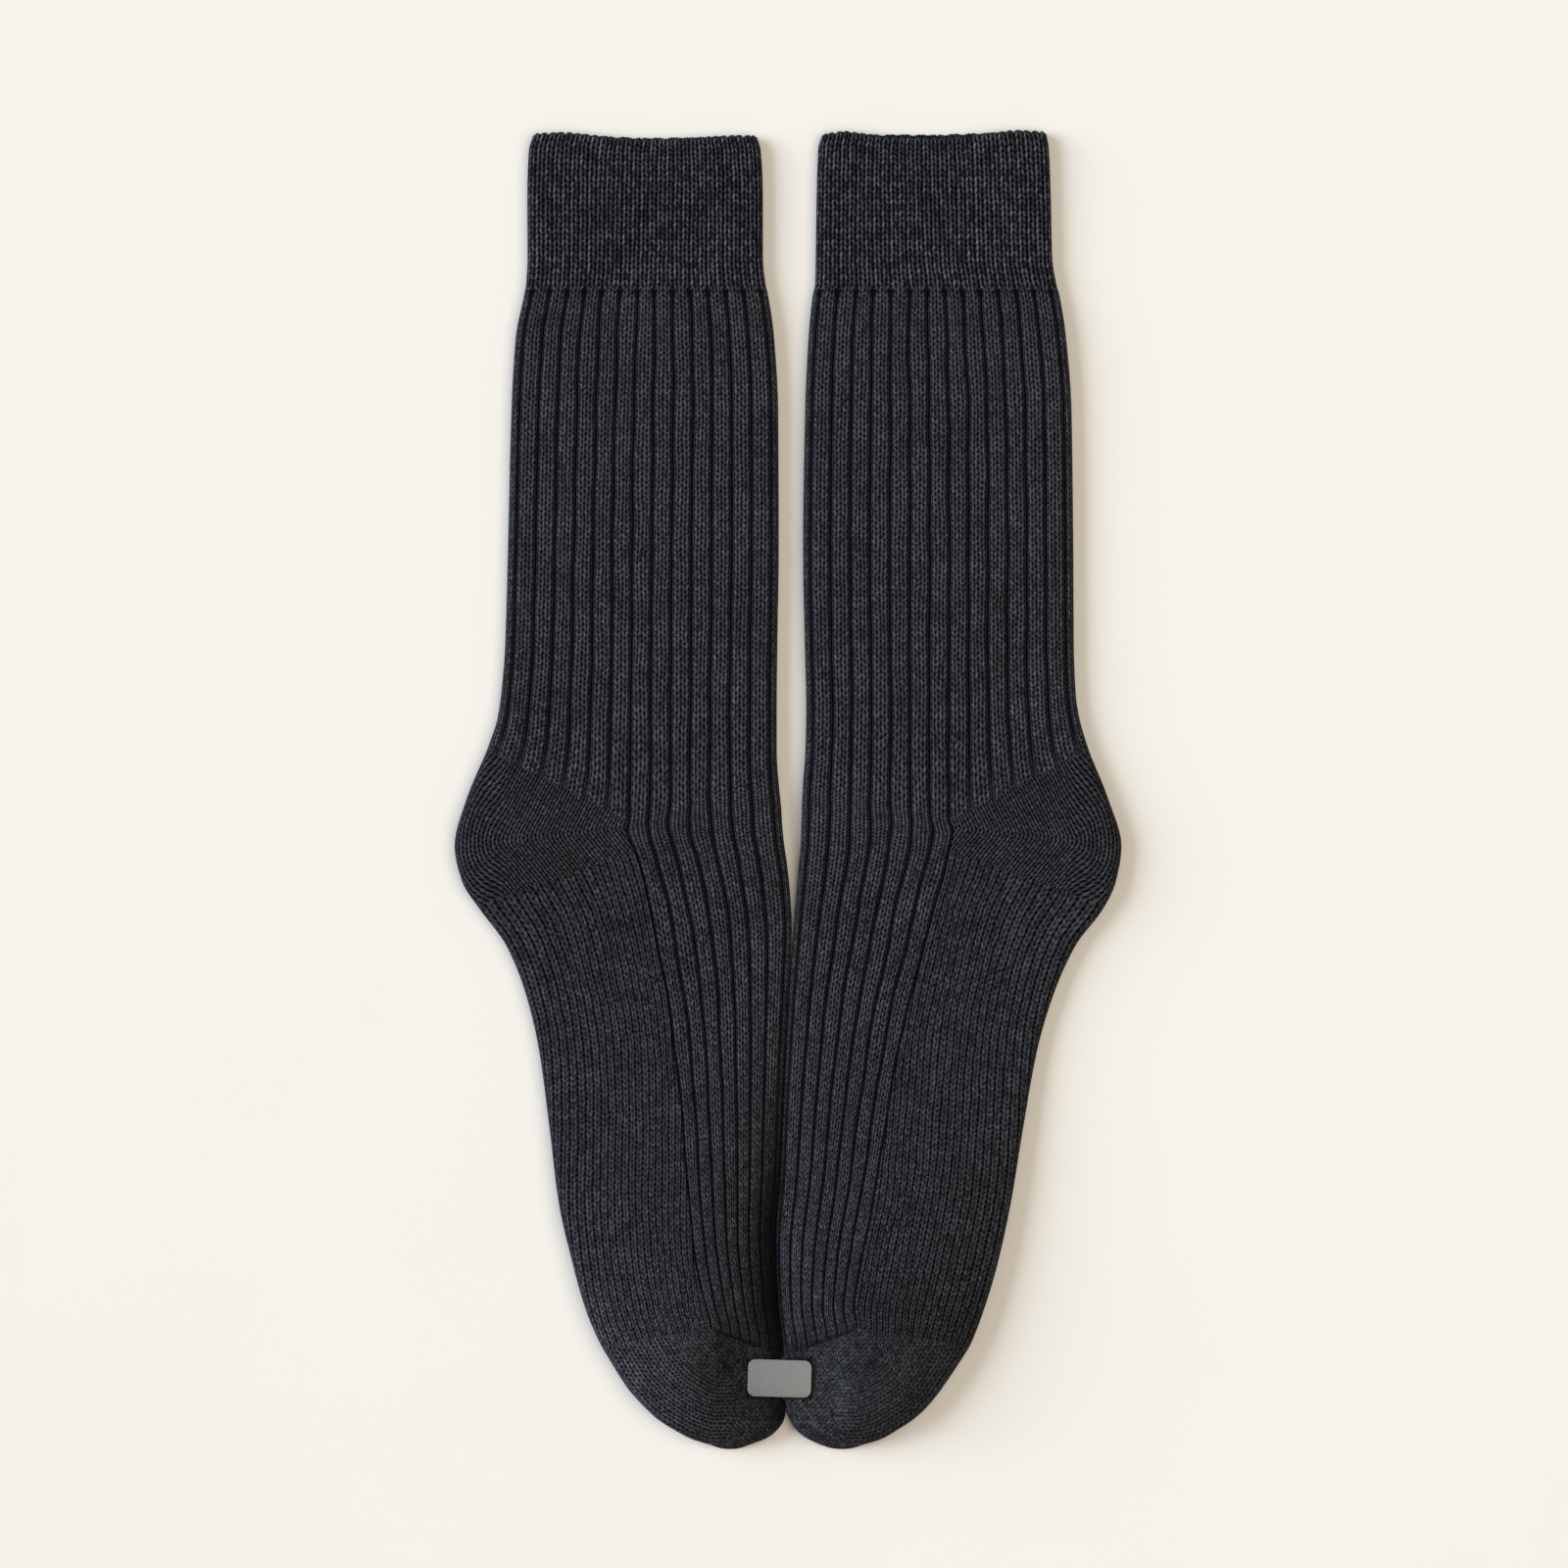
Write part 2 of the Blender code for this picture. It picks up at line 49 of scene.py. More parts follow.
# Sections of a sock from the cuff's rim to the tip of the toe, in millimetres, as knitted
# and laid flat. Each is a line from the heel edge through the mid wale, where sole and
# instep meet, to the instep edge. Heel and instep columns are distances from the middle
# of the pair, for the left and the right sock, and mid_share is how far between the two
# edges the mid wale lies. Gap is the hollow between the two layers. The rib columns are
# shares of the valleys' full depth, lift is the share by which the side at the clip comes
# off the ground, and dome is the rise of the round toe.
Section = namedtuple(
    "Section",
    "name heel_y heel_left heel_right mid_y mid_share instep_y instep_left instep_right "
    "height gap sole_rib instep_rib lift dome",
)
SECTIONS = [Section(*row) for row in (
    ("rim", 227.4, 88.4, 89.6, 225.5, 0.486, 225.8, 10.7, 11.7, 5.4, 1.2, 1, 1, 0, 0),
    ("cuff_top", 223.1, 89.8, 90.4, 222.0, 0.483, 222.4, 9.5, 10.5, 5.7, 1.2, 1, 1, 0, 0),
    ("cuff_mid", 206.1, 90.4, 91.1, 206.1, 0.478, 206.1, 8.7, 9.9, 5.7, 1.2, 1, 1, 0, 0),
    ("cuff_low", 185.0, 90.3, 91.6, 185.0, 0.473, 185.0, 8.7, 9.6, 5.7, 1.2, 1, 1, 0, 0),
    ("cuff_end", 175.5, 90.8, 93.0, 175.5, 0.467, 175.5, 7.8, 9.4, 5.7, 1.2, 1, 1, 0, 0),
    ("leg_top", 171.1, 91.6, 94.2, 171.1, 0.463, 171.1, 6.8, 8.5, 5.9, 1.3, 1, 1, 0, 0),
    ("leg_high", 156.8, 94.4, 96.4, 156.8, 0.465, 156.8, 4.8, 7.1, 6.2, 1.4, 1, 1, 0, 0),
    ("calf", 131.3, 95.9, 98.3, 131.3, 0.460, 131.3, 3.4, 5.9, 6.2, 1.4, 1, 1, 0, 0),
    ("shin", 83.7, 97.1, 98.9, 83.7, 0.458, 83.7, 3.2, 5.2, 6.2, 1.4, 1, 1, 0, 0),
    ("leg_low", 49.7, 98.1, 99.1, 49.7, 0.465, 49.7, 3.7, 5.8, 6.2, 1.4, 1, 1, 0, 0),
    ("ankle_back", 33.0, 99.5, 99.8, 28.0, 0.471, 28.6, 3.9, 6.3, 6.3, 1.4, 1, 1, 0, 0),
    ("ankle", 25.0, 100.7, 101.0, 9.0, 0.477, 13.7, 3.9, 6.0, 6.6, 1.6, 1, 1, 0, 0),
    ("gore_top", 14.0, 104.3, 104.2, -10.6, 0.485, 1.1, 3.1, 5.1, 6.9, 1.8, 0.3, 1, 0, 0),
    ("heel_high", -3.0, 111.4, 111.0, -12.6, 0.509, -5.4, 2.4, 4.8, 7.2, 2.0, 0, 1, 0, 0),
    ("heel_back", -19.3, 115.6, 115.6, -14.6, 0.527, -12.2, 2.0, 4.6, 7.2, 2.0, 0, 1, 0, 0),
    ("heel_under", -31.9, 112.9, 113.6, -17.2, 0.521, -18.3, 1.4, 4.4, 7.2, 2.0, 0, 1, 0, 0),
    ("gore_low", -40.7, 107.3, 109.5, -21.5, 0.508, -24.4, 0.5, 3.9, 6.9, 1.8, 0, 1, 0, 0),
    ("arch", -54.0, 97.6, 99.6, -33.6, 0.489, -33.2, -0.5, 3.2, 6.6, 1.6, 0, 1, 0, 0),
    ("arch_end", -71.0, 90.8, 92.0, -54.0, 0.495, -47.2, -1.3, 2.0, 6.4, 1.4, 0, 1, 0, 0),
    ("instep", -89.7, 86.4, 86.5, -77.8, 0.527, -69.3, 0.0, 0.4, 6.3, 1.4, 0, 1, 0, 0.8),
    ("ball", -117.9, 82.6, 81.4, -111.8, 0.565, -103.3, 1.9, -1.5, 6.3, 1.4, 0, 1, 0, 4.4),
    ("foot_low", -142.4, 79.6, 77.4, -138.3, 0.587, -133.9, 3.3, -2.9, 6.2, 1.4, 0, 1, 0, 7.2),
    ("toe_top", -164.5, 74.6, 72.6, -162.1, 0.610, -157.0, 4.9, -4.5, 6.1, 1.3, 0, 1, 0, 9.0),
    ("toe_knit", -180.8, 69.9, 67.7, -178.1, 0.626, -177.4, 4.08, -3.7, 6.0, 1.2, 0, 0.9, 0.3, 9.9),
    ("toe_seam", -193.0, 64.6, 62.9, -186.2, 0.605, -196.2, 1.65, -1.5, 5.7, 1.0, 0, 0.3, 1, 10.2),
    ("clip_top", -194.0, 64.0, 62.3, -187.3, 0.602, -197.1, 2.5, -1.5, 5.7, 1.0, 0, 0, 1, 10.2),
    ("toe_mid", -207.7, 55.4, 53.2, -202.6, 0.560, -210.4, 2.5, -1.5, 5.7, 1.0, 0, 0, 1, 10.0),
    ("clip_low", -209.3, 54.1, 52.0, -204.3, 0.554, -211.2, 1.15, -0.95, 5.7, 1.0, 0, 0, 1, 9.7),
    ("toe_notch", -214.3, 49.4, 47.8, -210.4, 0.534, -214.9, 0.75, -0.55, 5.7, 1.0, 0, 0, 1, 9.0),
    ("toe_low", -218.3, 45.0, 43.3, -216.1, 0.516, -218.0, 1.3, 0.5, 5.6, 1.0, 0, 0, 1, 7.6),
    ("toe_turn", -221.8, 39.5, 38.0, -220.8, 0.508, -221.6, 3.5, 2.7, 5.3, 1.0, 0, 0, 0.8, 5.6),
    ("toe_end", -225.1, 33.2, 32.2, -224.9, 0.500, -224.6, 7.2, 6.2, 4.4, 1.0, 0, 0, 0.6, 3.3),
    ("toe_tip", -227.0, 27.2, 26.2, -227.95, 0.500, -227.0, 13.2, 11.2, 2.6, 1.0, 0, 0, 0.4, 0),
)]
NAMES = [section.name for section in SECTIONS]

# Rib valleys, as shares of the way from an edge (1) to the mid wale (0).
SOLE_RIBS = 6
SOLE_EDGE_VALLEY = 0.933
INSTEP_RIBS = 7
INSTEP_EDGE_VALLEY = 0.95
LEG_VALLEY_DEEP = 1.5
LEG_VALLEY_HALF = 0.064
LEG_CROWN_ROUND = 0.35
CROWN_POWER = 3
# Shade painted into the broad ribs' valleys follows their depth to this power.
VALLEY_PAINTED_SHADE_POWER = 1.4
# Each broad rib's round top reaches up into the cuff. Just below it, each valley opens
# into a round hole: how much wider, how far down, its reach, and how soon it widens.
RIB_ARCH = 1.7
RIB_TOP_OPEN = 3.6
RIB_TOP_AT = 0.8
RIB_TOP_REACH = 1.3
RIB_TOP_ARCH = 1.2
RIB_TOP_LEAST = 0.02
CUFF_TURN = 0.6
CUFF_FADE = 4.0
CUFF_VALLEY_DEEP = 0.55
CUFF_VALLEY_HALF = 0.17
CUFF_CROWN_ROUND = 0.2
# Share of shade painted into the cuff's fine valleys.
CUFF_VALLEY_PAINTED_SHADE = 0.25
UNDERSIDE_RIB_SHARE = 0.4
# Places this near the mid wale belong to the instep, and so does the valley on it.
MID_VALLEY_SIDE = 0.004
# How far ribs stray from their lines, as a share of the way from edge to mid wale, and the
# waves of it: share of the whole, turn from rib to rib, millimetres for each radian, and
# how far the sock's own shift moves it.
WOBBLE = 0.0045
WOBBLE_SHIFT = {"left": 0.6, "right": 2.9}
CUFF_WOBBLE_LESS = 0.5
Wave = namedtuple("Wave", "share by_rib mm shifts")
WAVES = (Wave(1.0, 2.7, 9.0, 1.0), Wave(0.6, 1.9, -5.5, 2.0), Wave(0.2, 3.1, 2.6, 1.0))
SWELL = Wave(1.0, 1.3, 21.0, 0.0)
# The laid cloth's slow unevenness, in millimetres: its shift and its waves in radians for
# each millimetre out and along.
UNEVEN_MM = 0.12
UNEVEN_SHIFT = {"left": 1.7, "right": 4.1}
UNEVEN_PATCHES = (0.11, 0.047)
UNEVEN_SLANT = (0.05, 0.09)
UNEVEN_SLANT_SHARE = 0.6

# Knit counts. A broad rib is two knit wales and two purl wales that lie hidden in the
# valley. On the cuff's fine ribs the purl wales draw in, so that two knit wales show.
WALES_PER_RIB = 4
CUFF_WALES_PER_RIB = 2
CUFF_FIRST_WALE = 0.5
PLAIN_WALES = 22
EDGE_WALES_WIDEN = 0.15
# The sole's wales run straighter than its outline and slip round its edge: from where and
# to where along the pair, and how far.
SOLE_SLIP = {"left": (-70.0, -205.0, 10.0), "right": (-52.0, -147.0, 6.4)}
SOLE_WALE_MM = 2.3
# Round a folded edge lies more cloth than in plan: how much, against a half circle's, and
# the width of its wales.
EDGE_CLOTH = 1.3
EDGE_WALE_MM = 2.6
CUFF_EDGE_WALE_MM = 2.8
# Wales and courses are as wide as the photo's loops look.
COURSE_MM = 2.0
HEEL_WALE_MM = 2.8
# The heel's wales slope so above and below its mitre line, and turn softly across it:
# over how many millimetres at the heel's edge and further in.
HEEL_SLOPES = (0.55, 0.75)
HEEL_POINT_Y = -19.3
MITRE_SLOPE = 0.11
MITRE_TURN = (16.0, 0.8)
MITRE_TURN_REACH = 19.0
TOE_WALE_MM = 2.6
TOE_LINE_SOFT = 1.5
TIP_LINE_POINTS = 12
# Inside the rounds the toe's wales run on from the seam, leaning outwards, finely knitted.
TOE_INNER_FROM = 23.0
TOE_INNER_END = 3.0
TOE_INNER_LEAN = 0.3
TOE_INNER_WALE_MM = 1.9
TOE_INNER_COURSE_MM = 1.4
# Where in a broad rib its wales begin and end, against their counts.
LEG_PURL = ((0.0, 0.11, 0.89, 1.0), (0.0, 1.0, 3.0, 4.0))
# The slant of a loop's legs, how suddenly they end, how thin they look, and how far the
# gap beside them closes along them and opens at their ends.
LEG_SLANT = 1.2
LOOP_END_POWER = 1.8
STRAND_POWER = 2.5
HOLE_AT_LOOP = {"To Min": 0.65, "To Max": 1.45}
WANDER_MM = 5.0
WANDER_WALES = 0.13
LOOP_RELIEF_MM = 0.35
# A fibre is some 0.02 mm thick, too fine to show in the render, so the yarn's fibres are
# drawn as tufts as coarse as they need to show.
FIBRE_MM = 1.0
FIBRE_RELIEF = 0.25
HEATHER_CLOUD_MM = 14.0
# How much lighter or darker the yarn gets by loop (a share of the zone's course_show), by
# fibre and by cloud, and how unevenly the loops reach over a hollow, breaking its painted shade.
LOOP_HEATHER = 0.9
FIBRE_HEATHER = {"To Min": 0.1, "To Max": 1.9}
CLOUD_HEATHER = {"To Min": 0.88, "To Max": 1.12}
REACH_OVER = {"To Min": 0.45, "To Max": 1.75}
# At this much painted shade the yarn's colour falls to this share of itself.
PAINTED_SHADE_FULL = 0.9
SHARE_LEFT_IN_PAINTED_SHADE = 0.13
# Noise seldom leaves these values, so they are spread over the whole of what it drives.
NOISE_MOST = {"From Min": 0.3, "From Max": 0.7}
FIBRE_NOISE_MOST = {"From Min": 0.25, "From Max": 0.75}
# The yarn's face, and the near black shade painted into the gaps between its loops.
YARN_FACE = "#494B51"
YARN_GAP_PAINTED_SHADE = "#05050E"
YARN_BLOOM = "#9A9AA2"

ROW_STEP = 1.5
# Closer rows carry the round rib tops, from and to here past the end of the cuff.
RIB_TOP_ROWS = (-2.0, 3.2)
RIB_TOP_ROW_STEP = 0.4
RIB_MARKS = (0.0, 0.05, 0.11, 0.2, 0.35, 0.5, 0.65, 0.8, 0.89, 0.95)
UNDER_MARKS = (0.0, 0.12, 0.5, 0.88)
EDGE_STEPS = 6
WALL = 2.0
INSIDE_RIB_ROOM = 0.8
RIM_RISE = 0.7
RIM_DIP = {"left": 0.2, "right": 1.3}
RIM_DIP_REACH = 6.0
RIM_SCALLOP = 0.8
SCALLOP_ROUND = 0.7
SCALLOP_REACH = 1.5
# The inside is painted in full shade; its first ring at the rim takes this share, and the rim's
# crest this share of the outside's painted shade.
RIM_INSIDE_PAINTED_SHADE = 0.35
CREST_PAINTED_SHADE = 0.3
# Where the front rim falls or rises from its straight line, across each sock.
RIM_ACROSS = (-1.0, -0.7, -0.3, 0.05, 0.45, 0.8, 1.0)
RIM_FALL = {
    "left": (1.1, 0.1, 1.0, 1.5, 0.8, 0.1, 0.3),
    "right": (0.5, -0.6, 0.5, 0.8, 0.4, -1.4, -0.3),
}
RIM_FALL_REACH = 7.0
# The clip presses the rounded toes flat under it, and the toes touch beside it.
CLIP_PRESS_REACH = 10.0
# A shadow painted round the clip's plate, and how far out it reaches.
CLIP_PAINTED_SHADOW = 0.9
CLIP_PAINTED_SHADOW_REACH = 0.9
PINCH_DEEP = 0.8
PINCH_REACH = 6.0
# Shade painted beside the gap where the toes touch, strongest on the left toe, and how far it
# reaches.
GAP_PAINTED_SHADE = {"left": 0.85, "right": 0.1}
GAP_PAINTED_SHADE_REACH = {"left": 6.5, "right": 2.0}
GAP_FROM_BALL = 45.0
GAP_TO_TIP = 6.0
FAR_MM = 1000.0
# From the arch to the toe seam both feet come this much closer, over these lengths.
TOE_CLOSER = 0.17
TOE_CLOSER_IN = 20.0
TOE_CLOSER_OUT = 6.0
TIP_ROUND_REACH = 8.0
UNDERSIDE_LIFT = 0.95
LIFT_ACROSS = (0.1, 0.5)
INSIDE_MARKS = (-0.9, -0.7, -0.5, -0.25, 0.0, 0.25, 0.5, 0.7, 0.9)
INSIDE_EVERY = 6
# The toe seam's groove, from the mid wale over the instep, with shade painted along it, and
# that painted shade's lighter inner end.
SEAM_HALF = 0.5
SEAM_DEEP = 0.5
SEAM_PAINTED_SHADE = 0.9
SEAM_BEGINS = (-0.02, 0.08)
SEAM_ENDS = (0.55, 0.85)
SEAM_END_LIGHTER = 0.7

# How each zone's knit looks: how far painted shade darkens the ends of the loops, how far
# it darkens the gap between a loop's two legs, how light the yarn's faces lie, and how far
# painted shade darkens the gap between wales.
Zone = namedtuple("Zone", "name course_show inner_gap bright wale_gap")
ZONES = (
    Zone("leg", 0.38, 0.95, 0.92, 1.1),
    Zone("cuff", 0.6, 1.3, 1.18, 1.35),
    Zone("sole", 0.42, 0.7, 0.72, 1.25),
    Zone("heel", 0.25, 1.15, 0.75, 1.15),
    Zone("toe", 0.36, 0.85, 0.8, 1.0),
    Zone("toe_inner", 0.5, 0.8, 0.78, 0.85),
)
ZONE_NUMBER = {zone.name: number for number, zone in enumerate(ZONES)}
# The toe's loops lose their lines from here to here inward, in millimetres from its edge,
# and from here to here across.
TOE_LINES_FADE = {"left": (18.0, 40.0), "right": (-12.0, 24.0)}
TOE_LINES_ACROSS = (-0.25, 0.45)
TOE_LINES_LEFT = 0.6
TOE_GRAIN_DARK = 0.35
# Painted light on the toe's loops, against millimetres out from the middle of the pair:
# the left toe's outer part and the right toe's inner part face the window and are painted
# lighter, the parts turned from it darker.
TOE_PAINTED_LIGHT = {
    "left": ((5.0, 15.0, 25.0, 40.0, 60.0), (0.74, 0.84, 0.98, 1.16, 1.27)),
    "right": ((8.0, 15.0, 24.0, 40.0, 60.0), (1.12, 1.02, 0.86, 0.78, 0.78)),
}
# This painted light comes in over this length above the toe seam.
TOE_PAINTED_LIGHT_BLEND = 45.0

# Soft hollows and swells of the laid cloth, from one point to another: places are
# distances out from the middle of the pair and along it, in millimetres. Each fades out
# past its ends, and near the sock's folded edges.
Fold = namedtuple("Fold", "out_start y_start out_end y_end half deep")
FOLD_END_FADE = 1.5
FOLD_FREE_OF_EDGE = 0.125
FOLDS = {
    "left": [
        Fold(104, -36, 82, -38, 3.5, 0.55),
        Fold(71, -22, 77, -64, 5.0, 0.75),
        Fold(100, 12, 86, 4, 4.0, 0.35),
        Fold(60, 168, 62, 120, 7.0, 0.2),
        Fold(30, -90, 34, -150, 5.0, 0.25),
        Fold(58, -95, 52, -160, 9.0, -0.3),
        Fold(95, -20, 84, -18, 9.0, -1.2),
        Fold(48, -190, 40, -212, 6.0, -0.3),
    ],
    "right": [
        Fold(103, -38, 80, -42, 3.5, 0.5),
        Fold(70, -24, 78, -60, 4.0, 0.45),
        Fold(99, 14, 84, 6, 4.0, 0.3),
        Fold(64, 150, 60, 100, 7.0, 0.2),
        Fold(28, -84, 32, -140, 5.0, 0.25),
        Fold(56, -90, 52, -155, 9.0, -0.3),
        Fold(94, -18, 84, -18, 9.0, -0.35),
        Fold(46, -192, 38, -210, 6.0, -0.3),
    ],
}

CLIP_MIDDLE = (-2.95, -203.8)
CLIP_WIDTH = 22.1
CLIP_LENGTH = 13.0
CLIP_SHEET = 0.6
CLIP_TOP = 6.6
CLIP_WEB_X = -2.0
CLIP_WEB = 0.7
CLIP_CORNER = 2.6
CLIP_EDGE_ROUND = 0.18
CLIP_SHARP_ANGLE = 1.2
CLIP_ASKEW = -1.6
# The strip's grain, some 0.05 mm, is too fine to show, so it is drawn coarser.
STEEL_GRAIN_MM = 0.25
STEEL_GRAIN_DEEP_MM = 0.02
STEEL_TUMBLE_MM = 3.0
GRAIN_STRETCH = 12.0
STEEL_ROUGH = {"To Min": 0.52, "To Max": 0.65}
STEEL_DARKER = "#83888D"
STEEL_LIGHTER = "#8B9095"

GROUND_HALF_M = 2.5
GROUND_BELOW_MM = 0.05
# The paper's own tooth is too fine to show, so only its slow cloudiness is drawn.
PAPER_CLOUD_MM = 60.0
GROUND_PALE = "#F0F1EE"
GROUND_WARM = "#EFEFEB"
ROOM_STRENGTH = 0.2
ROOM_COLOUR = "#FFF4E6"
CAMERA_HEIGHT_M = 4.0
# Name, place in metres, side in metres, watts and colour of each light.
LIGHTS = (
    ("window", (-10.2, 2.6, 5.3), 9.0, 1850.0, "#E9F2FF"),
    ("ceiling_softbox", (1.3, 0.0, 3.4), 3.4, 84.0, "#FFEFDA"),
)


def smooth_step(value):
    """A smooth step from 0 to 1."""
    value = np.clip(value, 0.0, 1.0)
    return value * value * (3.0 - 2.0 * value)


def ramp(value, ends):
    """A smooth step from 0 at the first of two ends to 1 at the second."""
    return smooth_step((value - ends[0]) / (ends[1] - ends[0]))


def bell(value):
    """A bell curve that is 1 at 0."""
    return np.exp(-value * value)


def column(name):
    """One column of the section table."""
    return np.array([float(getattr(section, name)) for section in SECTIONS])


def length_marks():
    """Length along the sock of each section, as the mean of its three marked points."""
    across_heel = np.hypot(np.diff(column("heel_y")), np.diff(column("heel_left")))
    across_instep = np.hypot(np.diff(column("instep_y")), np.diff(column("instep_left")))
    steps = (across_heel + np.abs(np.diff(column("mid_y"))) + across_instep) / 3.0
    return np.concatenate(([0.0], np.cumsum(steps)))


LENGTHS = length_marks()


def length_of(name):
    """Length along the sock of the section with this name."""
    return LENGTHS[NAMES.index(name)]


CUFF_CHANGE = 0.5 * (length_of("cuff_end") + length_of("leg_top"))


def along_sock(name, places):
    """A column of the table at places along the sock, smooth through its rows."""
    values = column(name)
    steps = np.diff(LENGTHS)
    rises = np.diff(values) / steps
    slopes = np.zeros(len(values))
    same = rises[:-1] * rises[1:] > 0.0
    total = np.where(same, rises[:-1] + rises[1:], 1.0)
    slopes[1:-1] = np.where(same, 2.0 * rises[:-1] * rises[1:] / total, 0.0)
    slopes[0] = rises[0]
    slopes[-1] = rises[-1]
    row = np.clip(np.searchsorted(LENGTHS, places, side="right") - 1, 0, len(steps) - 1)
    share = (places - LENGTHS[row]) / steps[row]
    squared = share * share
    cubed = squared * share
    return (
        (2.0 * cubed - 3.0 * squared + 1.0) * values[row]
        + (cubed - 2.0 * squared + share) * steps[row] * slopes[row]
        + (3.0 * squared - 2.0 * cubed) * values[row + 1]
        + (cubed - squared) * steps[row] * slopes[row + 1]
    )


def rib_count(across):
    """Ribs counted across the layer: whole numbers at the valleys, 6 at the mid wale."""
    sole = (SOLE_EDGE_VALLEY + across) * SOLE_RIBS / SOLE_EDGE_VALLEY
    instep = SOLE_RIBS + across * INSTEP_RIBS / INSTEP_EDGE_VALLEY
    return np.where(across < 0.0, sole, instep)


def across_of(count):
    """Across position of a rib count."""
    sole = count * SOLE_EDGE_VALLEY / SOLE_RIBS - SOLE_EDGE_VALLEY
    instep = (count - SOLE_RIBS) * INSTEP_EDGE_VALLEY / INSTEP_RIBS
    return np.where(count < SOLE_RIBS, sole, instep)


def layer_marks(marks):
    """Across positions of a layer: edge steps, then the marks on every rib, then edge steps."""
    counts = [rib + mark for rib in range(SOLE_RIBS + INSTEP_RIBS) for mark in marks]
    ribs = across_of(np.array(counts + [float(SOLE_RIBS + INSTEP_RIBS)]))
    turn = np.sin(np.linspace(0.0, math.pi / 2.0, EDGE_STEPS, endpoint=False))
    heel = -1.0 + (1.0 - SOLE_EDGE_VALLEY) * (1.0 - np.cos(np.arcsin(turn)))
    instep = 1.0 - (1.0 - INSTEP_EDGE_VALLEY) * (1.0 - np.cos(np.arcsin(turn)))
    return np.concatenate((heel, ribs, instep[::-1]))


def valley(phase, half):
    """Depth of a valley between ribs at a phase of the rib, 1 in the middle of the valley."""
    return bell(np.minimum(phase, 1.0 - phase) / half)


def rib_arch(across):
    """How far each broad rib's rounded top reaches up into the cuff."""
    count = rib_count(across)
    return RIB_ARCH * np.sin(math.pi * (count - np.floor(count)))


def fold_depth(out, y, folds):
    """Depth of the soft hollows at places on the sock."""
    depth = np.zeros_like(out)
    for fold in folds:
        run = np.array((fold.out_end - fold.out_start, fold.y_end - fold.y_start))
        length = float(np.hypot(*run))
        along = ((out - fold.out_start) * run[0] + (y - fold.y_start) * run[1]) / length
        aside = ((out - fold.out_start) * run[1] - (y - fold.y_start) * run[0]) / length
        past = np.maximum(np.maximum(-along, along - length), 0.0)
        depth += fold.deep * bell(aside / fold.half) * bell(past / (FOLD_END_FADE * fold.half))
    return depth


def uneven(out, y, shift):
    """Slow unevenness of hand laid cloth, between -1 and 1."""
    patches = np.sin(out * UNEVEN_PATCHES[0] + shift) * np.sin(y * UNEVEN_PATCHES[1] + 2.0 * shift)
    slant = np.sin(out * UNEVEN_SLANT[0] + y * UNEVEN_SLANT[1] + 3.0 * shift)
    return (patches + UNEVEN_SLANT_SHARE * slant) / (1.0 + UNEVEN_SLANT_SHARE)


